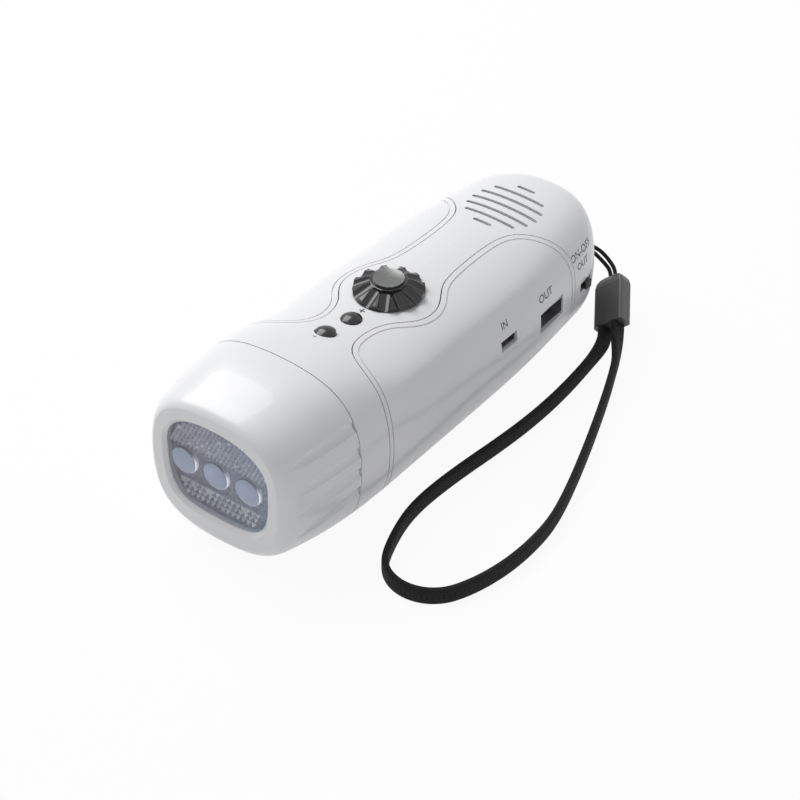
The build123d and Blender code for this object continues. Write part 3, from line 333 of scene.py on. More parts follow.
@dataclass(frozen=True)
class WovenWebbing:
    """Woven or braided textile that follows the piece's own map, in metres along and round."""

    name: str
    colour: Colour
    highlight: Colour
    along: float  # pitch of the yarns along the strap, in metres
    round_: float  # pitch of the yarns across it

    def build(self) -> bpy.types.Material:
        """Makes the material."""
        nodes = Nodes(self.name)
        u, v, _ = nodes.apart(nodes.own_map())
        fuzz = nodes.noise(2600.0, 4.0)
        row = u * (2 * math.pi / self.along)
        column = v * (2 * math.pi / self.round_)
        warp = ((row + column).wave() * 0.5 + 0.5) ** 0.6
        weft = ((row - column).wave() * 0.5 + 0.5) ** 0.6
        yarn = warp.higher(weft)
        strand = (row * 5.0 + column * 3.0).wave() * 0.12
        height = yarn + strand + fuzz * 0.35
        # The yarn crowns are painted paler as a painted highlight; the fibre noise adds random tone.
        tint = (yarn * 0.6 + fuzz * 0.55 - 0.25).clamped()
        return nodes.surface(
            {
                "Base Color": nodes.blend(tint, self.colour, self.highlight),
                "Roughness": 0.86 - fuzz * 0.2,
                "Normal": nodes.bump(height, 0.00014),
                "Specular IOR Level": 0.2,
            }
        )


@dataclass(frozen=True)
class CircuitBoard:
    """Solder mask over copper tracks, with plated pads."""

    name: str
    mask: Colour = (0.01, 0.11, 0.045)
    track: Colour = (0.025, 0.2, 0.09)

    def build(self) -> bpy.types.Material:
        """Makes the material."""
        nodes = Nodes(self.name)
        x, y, z = nodes.apart(nodes.place())
        wander = nodes.noise(120.0, 1.0) * 0.003
        lines = ((x + wander) * 1900.0).wave().over(0.35) * ((y - wander) * 140.0).wave().over(-0.4)
        cross = ((y + z) * 1700.0).wave().over(0.55) * (x * 160.0).wave().over(0.2)
        copper = lines.higher(cross)
        pads = ((x * 1300.0).wave() * ((y + z) * 1300.0).wave()).over(0.93)
        colour = nodes.blend(copper, self.mask, self.track)
        return nodes.surface(
            {
                "Base Color": nodes.blend(pads, colour, (0.75, 0.74, 0.7)),
                "Metallic": pads * 0.9,
                "Roughness": 0.34 + nodes.noise(300.0) * 0.12,
                "Normal": nodes.bump(copper, 0.00003),
            }
        )


@dataclass(frozen=True)
class PrintedWrap:
    """Shrink wrap of the cell: a coloured sleeve with a pale band and fine creases."""

    name: str
    colour: Colour = (0.03, 0.13, 0.42)
    band: Colour = (0.7, 0.7, 0.68)

    def build(self) -> bpy.types.Material:
        """Makes the material."""
        nodes = Nodes(self.name)
        _, y, _ = nodes.apart(nodes.place())
        near = (y - 0.0595).size()
        pale = 1 - near.over(0.004)
        crease = nodes.noise(420.0, 3.0)
        return nodes.surface(
            {
                "Base Color": nodes.blend(pale, self.colour, self.band),
                "Roughness": crease * 0.2 + 0.2,
                "Normal": nodes.bump(crease, 0.00004),
                "Coat Weight": 0.4,
            }
        )


@dataclass(frozen=True)
class FacetedAcrylic:
    """Clear facets with painted light and shade, pale on the sides that lean to one light direction and dark on
    the others, and with painted glints.
    """

    name: str
    dark: Colour
    pale: Colour
    spread: float
    sparkle: float

    def build(self) -> bpy.types.Material:
        """Makes the material."""
        nodes = Nodes(self.name)
        lean = nodes.named_attribute("lean")
        chance = nodes.named_attribute("chance")
        patchy = nodes.noise(140.0, 2.0)
        # Painted glints: a few faces picked at random turn pale.
        glint_speck = chance.over(0.93) * self.sparkle
        # Painted light and shade from each face's lean, with random tone from chance and patchy.
        share = ((lean - 0.5) * self.spread + chance * 0.3 + patchy * 0.45 + glint_speck).clamped()
        return nodes.surface(
            {
                "Base Color": nodes.blend(share, self.dark, self.pale),
                "Roughness": 0.12 + patchy * 0.1,
                "Alpha": 0.8 + patchy * 0.2,
                "Normal": nodes.bump(patchy, 0.00004),
                "IOR": 1.49,
            }
        )


@dataclass(frozen=True)
class PaintedHighlightWall:
    """The wall of a clear lamp lens, with a painted highlight and a painted glow on the faces that lean one
    way, and painted shade on the rest.
    """

    name: str
    colour: Colour
    shaded: Colour
    glow: float

    def build(self) -> bpy.types.Material:
        """Makes the material."""
        nodes = Nodes(self.name)
        lean = nodes.named_attribute("lean")
        # Painted highlight mask: faces that lean far enough to one side get the pale colour, the others the
        # shaded one.
        lit = ((lean - 0.72) * 4.5).clamped()
        haze = nodes.noise(700.0, 2.0)
        colour = nodes.blend(lit, self.shaded, self.colour)
        return nodes.surface(
            {
                "Base Color": colour,
                "Roughness": haze * 0.1 + 0.15,
                "Alpha": lit * 0.65 + 0.35,
                # Painted glow: the highlight side emits light though it is no lamp.
                "Emission Color": nodes.blend(lit, (0.0, 0.0, 0.0), self.colour),
                "Emission Strength": self.glow,
                "Coat Weight": 0.5,
            }
        )


@dataclass(frozen=True)
class LensPlate:
    """Clear blue-grey plate, darker to one side, with a ring of painted shade round each lamp lens and pale
    flecks that are painted glints.
    """

    name: str
    left: Colour
    right: Colour
    alpha: float
    lamp_x: tuple[float, float, float] = (-0.0131, -0.0006, 0.0119)
    lamp_z: float = 0.031

    def build(self) -> bpy.types.Material:
        """Makes the material."""
        nodes = Nodes(self.name)
        x, _, z = nodes.apart(nodes.place())
        across = (x * 25.0 + 0.5 + (nodes.noise(140.0, 2.0) - 0.5) * 0.5).clamped()
        # Painted shade: a dark ring just outside each lamp lens.
        shade_ring = None
        for lamp in self.lamp_x:
            dx, dz = x - (lamp + 0.0006), z - (self.lamp_z - 0.0005)
            far = (dx * dx + dz * dz) ** 0.5
            ring = (1 - ((far - 0.0054) * 900.0).size()).clamped()
            shade_ring = ring if shade_ring is None else shade_ring.higher(ring)
        glint_speck = nodes.noise(650.0, 1.0)
        tint = nodes.blend(across, self.left, self.right)
        # Pale flecks painted on as glints; the same noise also roughens and bumps the plate.
        tint = nodes.blend((glint_speck - 0.5).clamped() * 1.2, tint, (0.9, 0.92, 0.96))
        tint = nodes.blend(shade_ring * 0.75, tint, (0.13, 0.13, 0.16))
        return nodes.surface(
            {
                "Base Color": tint,
                "Roughness": glint_speck * 0.08 + 0.05,
                "Alpha": shade_ring * 0.3 + (glint_speck * 0.2 + (self.alpha - 0.1)),
                "Normal": nodes.bump(glint_speck, 0.00003),
                "Coat Weight": 0.4,
                "Coat Roughness": 0.05,
                "IOR": 1.49,
            }
        )


@dataclass(frozen=True)
class PressedPaper:
    """Felted paper or open cloth of the speaker."""

    name: str
    colour: Colour
    weave: float = 0.0009

    def build(self) -> bpy.types.Material:
        """Makes the material."""
        nodes = Nodes(self.name)
        x, y, _ = nodes.apart(nodes.place())
        turn = 2 * math.pi / self.weave
        mesh = ((x * turn).wave() * (y * turn).wave()).size()
        fibre = nodes.noise(1800.0, 5.0)
        pale = tuple(min(1.0, c * 2.2 + 0.01) for c in self.colour)
        return nodes.surface(
            {
                "Base Color": nodes.blend((mesh * 0.6 + fibre * 0.5).clamped(), self.colour, pale),
                "Roughness": 0.9 - fibre * 0.15,
                "Normal": nodes.bump(mesh + fibre * 0.5, 0.0001),
            }
        )


class Finish(Enum):
    """Every finish on the torch."""

    SHELL = MouldedPlastic("white_shell_gloss", (0.79, 0.79, 0.80), 0.30, 0.25, 0.000003, mottle=0.02)
    ARM = MouldedPlastic("white_arm_gloss", (0.77, 0.77, 0.775), 0.32, 0.2, 0.000004, mottle=0.03)
    BLACK = MouldedPlastic("black_gloss", (0.006, 0.006, 0.0065), 0.2, 0.25, 0.000005, mottle=0.3)
    LEVER = MouldedPlastic("black_lever", (0.015, 0.015, 0.016), 0.38, 0.1, 0.00001, 0.4, 0.3)
    FERRULE = MouldedPlastic("grey_slider", (0.10, 0.10, 0.102), 0.42, 0.1, 0.00001, 0.5, 0.2)
    INNER_BLACK = MouldedPlastic("inner_black", (0.02, 0.02, 0.021), 0.5, 0.0, 0.00001, 0.4, 0.25)
    TONGUE = MouldedPlastic("socket_tongue", (0.22, 0.22, 0.22), 0.45, 0.0, 0.00001, 0.4, 0.15)
    INNER_GREY = MouldedPlastic("gearbox_grey", (0.09, 0.095, 0.1), 0.45, 0.0, 0.00001, 0.4, 0.15)
    NYLON = MouldedPlastic("gear_nylon", (0.72, 0.7, 0.62), 0.42, 0.0, 0.000006, 0.2, 0.06)
    SEAL = MouldedPlastic("seal_silicone", (0.42, 0.43, 0.46), 0.55, 0.0, 0.00001, 0.5, 0.1)
    INK = MouldedPlastic("printed_ink", (0.13, 0.13, 0.135), 0.5, 0.0, 0.000002, 0.2, 0.35)
    LAMP = ClearAcrylic("lamp_resin", (0.86, 0.87, 0.78), 0.8, 0.1)
    LENS = LensPlate("lens_plate", (0.50, 0.47, 0.58), (0.62, 0.74, 0.90), 0.30)
    UPPER_FACETS = FacetedAcrylic("facets_fine", (0.24, 0.24, 0.32), (0.92, 0.94, 1.0), 0.9, 0.8)
    LOWER_FACETS = FacetedAcrylic("facets_coarse", (0.04, 0.045, 0.06), (0.9, 0.93, 0.96), 1.6, 0.6)
    LAMP_FACE = ClearAcrylic("lamp_lens_face", (0.60, 0.68, 0.84), 0.55, 0.05)
    LAMP_WALL = PaintedHighlightWall("lamp_lens_wall", (0.95, 0.96, 1.0), (0.22, 0.23, 0.3), 0.5)
    REFLECTOR = WorkedMetal("reflector_bright", (0.63, 0.66, 0.75), 0.34, (1.0, 1.0, 1.0))
    STEEL = WorkedMetal("steel_plated", (0.58, 0.58, 0.6), 0.34)
    BRASS = WorkedMetal("brass_turned", (0.66, 0.47, 0.18), 0.32)
    CAP = WorkedMetal("cap_spun", (0.2, 0.205, 0.2), 0.26, (1.0, 1.0, 1.0))
    BOARD = CircuitBoard("circuit_board")
    WRAP = PrintedWrap("cell_wrap")
    CONE = PressedPaper("cone_paper", (0.02, 0.02, 0.022), 0.003)
    CLOTH = PressedPaper("dust_cloth", (0.26, 0.26, 0.265))
    WEBBING = WovenWebbing("strap_webbing", (0.0035, 0.0035, 0.004), (0.026, 0.026, 0.028), 0.0016, 0.0014)
    BRAID = WovenWebbing("loop_braid", (0.004, 0.004, 0.0045), (0.026, 0.026, 0.028), 0.0011, 0.0011)


class Paint:
    """Makes each finish's material once, and puts it on objects."""

    def __init__(self) -> None:
        """Starts with no material made."""
        self._made: dict[str, bpy.types.Material] = {}

    def material(self, finish: Finish) -> bpy.types.Material:
        """The material of a finish."""
        if finish.name not in self._made:
            self._made[finish.name] = finish.value.build()
        return self._made[finish.name]

    def dress(self, obj: bpy.types.Object, finish: Finish) -> None:
        """Puts a finish all over an object."""
        obj.data.materials.clear()
        obj.data.materials.append(self.material(finish))

    def dress_nodes(self, finish: Finish, *names: str) -> None:
        """Puts a finish on carried-over nodes."""
        for name in names:
            self.dress(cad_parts[name], finish)
            LOG.info("%s wears %s", name, finish.name)


# ---------------------------------------------------------------- mesh helpers
def add_piece(name: str, mesh: bmesh.types.BMesh, body: str) -> bpy.types.Object:
    """Writes a bmesh to a new object that rides on a body.

    Args:
        name: The piece's name.
        mesh: Its shape in the row frame. It is freed.
        body: The body it moves with.

    Returns:
        The new object.
    """
    bmesh.ops.recalc_face_normals(mesh, faces=mesh.faces)
    data = bpy.data.meshes.new(name)
    mesh.to_mesh(data)
    mesh.free()
    obj = bpy.data.objects.new(name, data)
    bpy.context.scene.collection.objects.link(obj)
    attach(obj, body)
    LOG.info("piece %s: %d faces on %s", name, len(data.polygons), body)
    return obj


def surface_tree(*names: str) -> BVHTree:
    """A search tree over the outsides of carried-over nodes."""
    gathered = bmesh.new()
    for name in names:
        gathered.from_mesh(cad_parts[name].data)
    tree = BVHTree.FromBMesh(gathered)
    gathered.free()
    return tree


# ---------------------------------------------------------------- head
@dataclass
class Head:
    """Clear plate with its facets and lamp lenses, the lamps and the reflector."""

    paint: Paint
    plate_front: float = 1.3  # millimetres behind the nose
    facet_start: float = 1.6
    facet_depth: float = 0.8
    upper_band: tuple[float, float] = (36.4, 48.0)
    lower_band: tuple[float, float] = (15.4, 24.0)
    upper_pitch: tuple[float, float] = (1.5, 1.5)
    lower_pitch: tuple[float, float] = (2.0, 2.2)
    lamp_x: tuple[float, float, float] = (-13.1, -0.6, 11.9)
    lamp_z: float = 31.0
    lamp_radius: float = 4.8

    def build(self) -> None:
        """Dresses the head, and adds the facets and the lamp lenses."""
        self.paint.dress_nodes(Finish.LENS, "lens")
        self.paint.dress_nodes(Finish.SEAL, "lens_gasket")
        self.paint.dress_nodes(Finish.REFLECTOR, "reflector")
        self.paint.dress_nodes(Finish.LAMP, "led_left", "led_centre", "led_right")
        self.paint.dress_nodes(Finish.BOARD, "led_board")
        self._facets("facets_upper", self.upper_band, self.upper_pitch, Finish.UPPER_FACETS)
        self._facets("facets_lower", self.lower_band, self.lower_pitch, Finish.LOWER_FACETS)
        for side, x in zip(("left", "centre", "right"), self.lamp_x):
            self._spun(f"lamp_face_{side}", x, self._face_profile(), Finish.LAMP_FACE)
            wall = self._spun(f"lamp_wall_{side}", x, self._wall_profile(), Finish.LAMP_WALL)
            # Painted highlight on the wall faces that lean to +X and a little down, painted shade on the
            # others.
            self._mark_sides(wall, Vector((0.97, 0.0, -0.22)))

    def _inside_plate(self, tree: BVHTree, x: float, z: float) -> bool:
        """Whether a point of the plate's outline lies over its raised front."""
        hit = tree.ray_cast(at(x, -5.0, z), Vector((0, 1, 0)))[0]
        return hit is not None and hit.y < (self.plate_front + 0.4 + NOSE_Y) * MM

    def _facets(self, name: str, band: tuple[float, float], pitch: tuple[float, float], finish: Finish) -> None:
        """Rows of small pyramids cut into the back of the plate.

        Args:
            name: The piece's name.
            band: Lowest and highest row, in millimetres.
            pitch: Step across and step up.
            finish: What the pyramids look like.
        """
        tree = surface_tree("lens")
        mesh = bmesh.new()
        row, z = 0, band[0]
        while z <= band[1]:
            x = -20.0 + (0.5 * pitch[0] if row % 2 else 0.0)
            while x <= 20.0:
                half = (pitch[0] / 2, pitch[1] / 2)
                corners = [(x + i * half[0], z + j * half[1]) for i in (-1, 1) for j in (-1, 1)]
                if all(self._inside_plate(tree, *corner) for corner in corners):
                    self._pyramid(mesh, x, z, pitch)
                x += pitch[0]
            z += pitch[1]
            row += 1
        obj = add_piece(name, mesh, "casing")
        # Painted light on the facets falls from -X and above.
        self._mark_sides(obj, Vector((-0.6, 0.0, 0.8)))
        self.paint.dress(obj, finish)

    def _pyramid(self, mesh: bmesh.types.BMesh, x: float, z: float, pitch: tuple[float, float]) -> None:
        """One pyramid cut into the plate's thickness, pointing out of the torch."""
        place = Matrix.Translation(at(x, self.facet_start + self.facet_depth / 2, z))
        turn = Matrix.Rotation(math.radians(90), 4, "X") @ Matrix.Rotation(math.radians(45), 4, "Z")
        grow = Matrix.Diagonal((pitch[0] * MM / math.sqrt(2), 1.0, pitch[1] * MM / math.sqrt(2), 1.0))
        bmesh.ops.create_cone(
            mesh, cap_ends=True, segments=4, radius1=0.94, radius2=0.12,
            depth=self.facet_depth * MM, matrix=place @ grow @ turn,
        )  # fmt: skip

    @staticmethod
    def _mark_sides(obj: bpy.types.Object, light: Vector) -> None:
        """Stores on each face how far it leans to one side, for its painted light and shade.

        Args:
            obj: The piece.
            light: The direction that counts as 1.
        """
        lean = obj.data.attributes.new("lean", "FLOAT", "FACE")
        chance = obj.data.attributes.new("chance", "FLOAT", "FACE")
        dice = random.Random(7)
        for i, face in enumerate(obj.data.polygons):
            lean.data[i].value = 0.5 + 0.5 * face.normal.dot(light)
            chance.data[i].value = dice.random()

    def _face_profile(self) -> list[tuple[float, float]]:
        """Radius and depth of a lamp lens's rounded front."""
        edge = self.lamp_radius - 0.15
        return [(0.0, 0.42), (0.4 * edge, 0.45), (0.75 * edge, 0.55), (0.93 * edge, 0.7), (edge, 0.95)]

    def _wall_profile(self) -> list[tuple[float, float]]:
        """Radius and depth of a lamp lens's wall, which goes on into the plate."""
        edge = self.lamp_radius
        return [(edge - 0.15, 0.9), (edge - 0.03, 1.02), (edge, 1.25), (edge + 0.05, 2.3), (edge - 0.5, 2.3)]

    def _spun(
        self, name: str, x: float, profile: list[tuple[float, float]], finish: Finish
    ) -> bpy.types.Object:
        """A piece turned about a lamp's axis.

        Args:
            name: The piece's name.
            x: The lamp's place across the torch.
            profile: Radius and depth of each point, in millimetres.
            finish: What the piece looks like.

        Returns:
            The new object.
        """
        mesh = bmesh.new()
        verts = [mesh.verts.new((radius * MM, 0, (depth + NOSE_Y) * MM)) for radius, depth in profile]
        edges = [mesh.edges.new(pair) for pair in zip(verts, verts[1:])]
        bmesh.ops.spin(
            mesh, geom=verts + edges, cent=(0, 0, 0), axis=(0, 0, 1), steps=64,
            angle=math.tau, use_merge=True,
        )  # fmt: skip
        bmesh.ops.remove_doubles(mesh, verts=mesh.verts, dist=0.000001)
        turn = Matrix.Rotation(math.radians(-90), 4, "X")
        place = Matrix.Translation((x * MM, 0, self.lamp_z * MM))
        bmesh.ops.transform(mesh, verts=mesh.verts, matrix=place @ turn)
        obj = add_piece(name, mesh, "casing")
        for face in obj.data.polygons:
            face.use_smooth = True
        self.paint.dress(obj, finish)
        return obj


# ---------------------------------------------------------------- casing and its marks
@dataclass
class Mark:
    """One printed word or sign."""

    name: str
    words: str
    centre: tuple[float, float, float]
    height: float
    along: tuple[float, float, float]
    up: tuple[float, float, float]
    weight: float = 0.06


@dataclass
class Casing:
    """White shells with their printed marks."""

    paint: Paint
    lift: float = 0.03  # millimetres of ink over the surface
    marks: list[Mark] = field(
        default_factory=lambda: [
            Mark("mark_in", "IN", (29.7, 108.6, 37.4), 2.5, (0, 1, 0), (0, 0, 1)),
            Mark("mark_out", "OUT", (29.7, 131.9, 35.6), 2.7, (0, 1, 0), (0, 0, 1)),
            Mark("mark_on_off", "ON-OFF", (26.3, 156.7, 38.1), 2.6, (-0.2, 0.98, 0), (-0.3, 0, 1)),
            Mark("mark_switch_out", "OUT", (27.2, 156.2, 33.9), 2.4, (-0.2, 0.98, 0), (-0.3, 0, 1)),
            Mark("mark_minus", "-", (0.0, 49.0, 60.0), 3.0, (1, 0, 0), (0, 1, 0), 0.1),
            Mark("mark_plus", "+", (0.0, 72.0, 60.0), 3.0, (1, 0, 0), (0, 1, 0), 0.1),
        ]
    )

    def build(self) -> None:
        """Dresses the shells and prints the marks on them."""
        shells = ("bezel", "upper_shell", "side_panel_right", "side_panel_left", "lower_shell")
        self.paint.dress_nodes(Finish.SHELL, *shells)
        self.paint.dress_nodes(Finish.STEEL, "shell_screws")
        tree = surface_tree(*shells)
        for mark in self.marks:
            self._print(mark, tree)

    def _print(self, mark: Mark, tree: BVHTree) -> None:
        """Lays a word's mesh on the shell.

        Args:
            mark: What to print, and where.
            tree: The shell's surface.
        """
        words = bpy.data.curves.new(mark.name + "_words", "FONT")
        words.body, words.size = mark.words, 1.0
        words.align_x, words.align_y = "CENTER", "CENTER"
        words.offset = mark.weight * 0.2
        holder = bpy.data.objects.new(mark.name + "_words", words)
        bpy.context.scene.collection.objects.link(holder)
        bpy.context.view_layer.update()
        flat = bpy.data.meshes.new_from_object(holder)
        bpy.data.objects.remove(holder)
        mesh = bmesh.new()
        mesh.from_mesh(flat)
        bpy.data.meshes.remove(flat)
        bmesh.ops.triangulate(mesh, faces=mesh.faces)
        along, up = Vector(mark.along).normalized(), Vector(mark.up).normalized()
        out = along.cross(up).normalized()
        up = out.cross(along)
        scale = mark.height / 0.7 * MM
        start = at(*mark.centre) + out * 0.02
        for vert in mesh.verts:
            point = start + along * (vert.co.x * scale) + up * (vert.co.y * scale)
            hit, normal, _, _ = tree.ray_cast(point, -out)
            if hit is None:
                raise RuntimeError(f"{mark.name} misses the shell")
            vert.co = hit + normal * (self.lift * MM)
        obj = add_piece(mark.name, mesh, "casing")
        self.paint.dress(obj, Finish.INK)


# ---------------------------------------------------------------- controls, sockets, drive, insides
@dataclass
class Controls:
    """Knob, buttons and switch."""

    paint: Paint

    def build(self) -> None:
        """Dresses the controls."""
        self.paint.dress_nodes(Finish.BLACK, "tuning_knob", "button_minus", "button_plus")
        self.paint.dress_nodes(Finish.CAP, "knob_cap")
        self.paint.dress_nodes(Finish.STEEL, "pot_body", "pot_shaft")
        self.paint.dress_nodes(Finish.INNER_BLACK, "tact_switches", "slide_switch_body")
        self.paint.dress_nodes(Finish.LEVER, "switch_slider")


@dataclass
class Electrics:
    """Boards, sockets, speaker and cell."""

    paint: Paint

    def build(self) -> None:
        """Dresses the electrical parts."""
        self.paint.dress_nodes(Finish.BOARD, "control_board", "power_board")
        self.paint.dress_nodes(Finish.INNER_BLACK, "board_chips", "battery_holder")
        self.paint.dress_nodes(Finish.TONGUE, "usb_a_tongue", "micro_usb_tongue")
        self.paint.dress_nodes(Finish.STEEL, "usb_a_socket", "micro_usb_socket")
        self.paint.dress_nodes(Finish.STEEL, "speaker_frame", "speaker_magnet")
        self.paint.dress_nodes(Finish.CONE, "speaker_cone")
        self.paint.dress_nodes(Finish.CLOTH, "speaker_cloth")
        self.paint.dress_nodes(Finish.WRAP, "battery_cell")


@dataclass
class CrankDrive:
    """Crank, folding handle, gears and dynamo."""

    paint: Paint

    def build(self) -> None:
        """Dresses the drive."""
        self.paint.dress_nodes(Finish.ARM, "crank_arm")
        self.paint.dress_nodes(Finish.CAP, "hub_cap")
        self.paint.dress_nodes(Finish.BLACK, "handle_grip")
        self.paint.dress_nodes(Finish.INNER_BLACK, "handle_yoke")
        self.paint.dress_nodes(Finish.NYLON, "drive_gear", "compound_gear")
        self.paint.dress_nodes(Finish.INNER_GREY, "gearbox_base", "gearbox_cover")
        self.paint.dress_nodes(Finish.BRASS, "dynamo_pinion", "shaft_bush")
        steel = ("crank_screw", "crank_shaft", "handle_hinge_pin", "handle_spindle", "gear_pin")
        self.paint.dress_nodes(Finish.STEEL, *steel, "dynamo_shaft", "dynamo_can", "gearbox_screws")


# ---------------------------------------------------------------- wrist strap
@dataclass
class WristStrap:
    """Flat webbing that stands on its edge, its slider, and the thin loop to the torch."""

    paint: Paint
    thickness: float = 5.2
    loop_cord: float = 1.4
    floor: float = 2.65
    stand: float = 2.95  # half the webbing's width
    front: tuple[float, float, float] = (34.5, 165.3, 5.5)
    heading: tuple[float, float, float] = (0.519, -0.782, -0.345)
    roll: float = 42.0
    slider: float = 19.85  # length with its domed end
    drop: float = 12.3
    route: list[tuple[float, float]] = field(
        default_factory=lambda: [
            (36.0, 157.9), (37.7, 149.0), (39.2, 137.0), (40.2, 123.0), (40.2, 108.0), (39.1, 93.0),
            (37.5, 79.0), (36.4, 66.0), (36.2, 54.0), (37.6, 44.0), (41.3, 32.2), (44.9, 24.9),
            (50.2, 21.0), (56.7, 19.8), (63.1, 21.5), (68.1, 25.7), (71.2, 31.9), (73.6, 39.6),
            (75.2, 49.0), (75.6, 59.8), (74.6, 72.0), (70.6, 86.6), (63.5, 107.0), (54.7, 129.8),
            (48.4, 144.6),
        ]
    )  # fmt: skip
    eye_pin: tuple[float, float, float] = (10.55, 177.112, 21.0)
    eye_out: tuple[float, float, float] = (0.408615, 0.912707, 0.0)
    loop_middle: tuple[tuple[float, float, float], ...] = ((20.0, 183.6, 15.4), (16.2, 182.6, 19.0))
    loop_spread: tuple[float, ...] = (0.75, 0.9, 1.2, 1.7)
    loop_lead: float = 2.8

    def build(self) -> None:
        """Makes the strap and the loop, and dresses the slider and the eye pin."""
        self.paint.dress_nodes(Finish.FERRULE, "strap_ferrule")
        self.paint.dress_nodes(Finish.STEEL, "strap_anchor_pin")
        self._make_strap()
        self._make_loop()

    def _frame(self) -> tuple[Vector, Vector, Vector]:
        """Heading, wide and thin directions of the slider."""
        heading = Vector(self.heading).normalized()
        level = Vector((-heading.y, heading.x, 0)).normalized()
        rise = heading.cross(level)
        roll = math.radians(self.roll)
        wide = level * math.cos(roll) + rise * math.sin(roll)
        return heading, wide, heading.cross(wide)

    def _line(self, name: str, points: list[Vector]) -> list[Vector]:
        """The smooth line of a route, read from its NURBS spline.

        Args:
            name: Name of the working curve, which is removed again.
            points: The route in millimetres from the nose.

        Returns:
            Points along the spline, in metres in the row frame.
        """
        curve = bpy.data.curves.new(name, "CURVE")
        curve.dimensions = "3D"
        spline = curve.splines.new("NURBS")
        spline.points.add(len(points) - 1)
        for control, point in zip(spline.points, points):
            control.co = (*at(*point), 1.0)
        spline.order_u = 3
        spline.use_endpoint_u = True
        spline.resolution_u = 10
        holder = bpy.data.objects.new(name, curve)
        bpy.context.scene.collection.objects.link(holder)
        bpy.context.view_layer.update()
        flat = bpy.data.meshes.new_from_object(holder)
        line = [vert.co.copy() for vert in flat.vertices]
        bpy.data.objects.remove(holder)
        bpy.data.meshes.remove(flat)
        return line

    @staticmethod
    def _length(line: list[Vector]) -> float:
        """Length of a line."""
        return sum((b - a).length for a, b in zip(line, line[1:]))

    def _sweep(
        self,
        name: str,
        line: list[Vector],
        section: tuple[float, float],
        square: float,
        wide_at: Callable[[float, Vector], Vector],
        rise: float = 0.0,
    ) -> bpy.types.Object:
        """Runs a section along a line, with a map in metres along and round.

        Args:
            name: The piece's name.
            line: Points in metres.
            section: Half width and half thickness, in millimetres.
            square: 1 for an oval, less for a squarer section.
            wide_at: Gives the width's direction at a distance and a heading.
            rise: How far the section's middle is moved along its width, in millimetres.

        Returns:
            The new object.
        """
        mesh = bmesh.new()
        ring = bmesh.ops.create_circle(mesh, cap_ends=False, segments=20, radius=1.0)["verts"]
        shape = [(v.co.x, v.co.y) for v in ring]
        shape = [tuple(math.copysign(abs(c) ** square, c) for c in pair) for pair in shape]
        edges = [edge for edge in mesh.edges]
        distance = 0.0
        layer = mesh.loops.layers.uv.new("map")
        perimeter = math.pi * (section[0] + section[1]) * MM
        stations: dict[bmesh.types.BMVert, tuple[float, int]] = {}
        count = len(ring)
        for i, point in enumerate(line):
            before, after = line[max(0, i - 1)], line[min(len(line) - 1, i + 1)]
            heading = (after - before).normalized()
            if i:
                distance += (point - line[i - 1]).length
                made = bmesh.ops.extrude_edge_only(mesh, edges=edges)["geom"]
                edges = [g for g in made if isinstance(g, bmesh.types.BMEdge)]
                fresh = {v for e in edges for v in e.verts}
                ring = [self._follower(v, fresh) for v in ring]
            wide = wide_at(distance, heading)
            wide = (wide - heading * wide.dot(heading)).normalized()
            thin = heading.cross(wide)
            for j, (vert, (a, b)) in enumerate(zip(ring, shape)):
                vert.co = point + wide * ((a * section[0] + rise) * MM) + thin * (b * section[1] * MM)
                stations[vert] = (distance, j)
        for face in mesh.faces:
            places = [stations[loop.vert] for loop in face.loops]
            seam = max(p[1] for p in places) - min(p[1] for p in places) > count / 2
            for loop, (u, j) in zip(face.loops, places):
                turn = j + count if seam and j == 0 else j
                loop[layer].uv = (u, turn / count * perimeter)
            face.smooth = True
        holes = [edge for edge in mesh.edges if edge.is_boundary]
        bmesh.ops.holes_fill(mesh, edges=holes)
        return add_piece(name, mesh, "casing")

    @staticmethod
    def _follower(vert: bmesh.types.BMVert, fresh: set) -> bmesh.types.BMVert:
        """The new vertex that an extrusion drew out of an old one."""
        return next(e.other_vert(vert) for e in vert.link_edges if e.other_vert(vert) in fresh)

    def _make_strap(self) -> None:
        """The strap from one side of the slider's mouth round to the other."""
        heading, wide, thin = self._frame()
        front = Vector(self.front)
        side = wide * (self.thickness / 2 + 0.1)
        low, high = front - side, front + side
        floor = [Vector((x, y, self.floor)) for x, y in self.route]
        points = [low, low + heading * 2.7, *floor, high + heading * self.drop, high]
        line = self._line("strap_route", points)
        length = self._length(line)

        def wide_at(distance: float, _: Vector) -> Vector:
            """The webbing turns from the slider's section to stand on its edge."""
            near = min(distance, length - distance)
            share = min(1.0, near / 0.022)
            share = share * share * (3 - 2 * share)
            stand = Vector((0, 0, 1 if thin.z > 0 else -1))
            return thin * (1 - share) + stand * share

        rise = self.stand + 0.03 - self.floor
        obj = self._sweep("wrist_webbing", line, (self.stand, 1.2), 0.55, wide_at, rise)
        self.paint.dress(obj, Finish.WEBBING)
        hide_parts("strap_cord")
        at(*low)  # fmt: skip
        LOG.info("strap length %.4f m", length)

    def _make_loop(self) -> None:
        """The thin loop from the slider round the pin of the eye and back."""
        heading, _, _ = self._frame()
        back = Vector(self.front) - heading * self.slider
        pin, out = Vector(self.eye_pin), Vector(self.eye_out)
        across = Vector((-out.y, out.x, 0))
        reach = 1.25 + self.loop_cord / 2 + 0.05
        middle = [back, back - heading * self.loop_lead, *(Vector(p) for p in self.loop_middle)]
        legs = []
        for side in (1, -1):
            leg = []
            for i, spread in enumerate(self.loop_spread):
                way = -heading if i == 0 else middle[i] - middle[i - 1]
                leg.append(middle[i] + Vector((way.y, -way.x, 0)).normalized() * (side * spread))
            beside = pin + across * (side * reach)
            legs.append([*leg, beside + out * 4.0, beside - out * reach])
        line = self._line("loop_route", legs[0] + legs[1][::-1])
        radius = self.loop_cord / 2
        obj = self._sweep("wrist_loop", line, (radius, radius), 1.0, lambda _, h: Vector((0.2, 0.1, 1)))
        self.paint.dress(obj, Finish.BRAID)
        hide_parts("strap_loop")
        at(*legs[0][0])  # fmt: skip


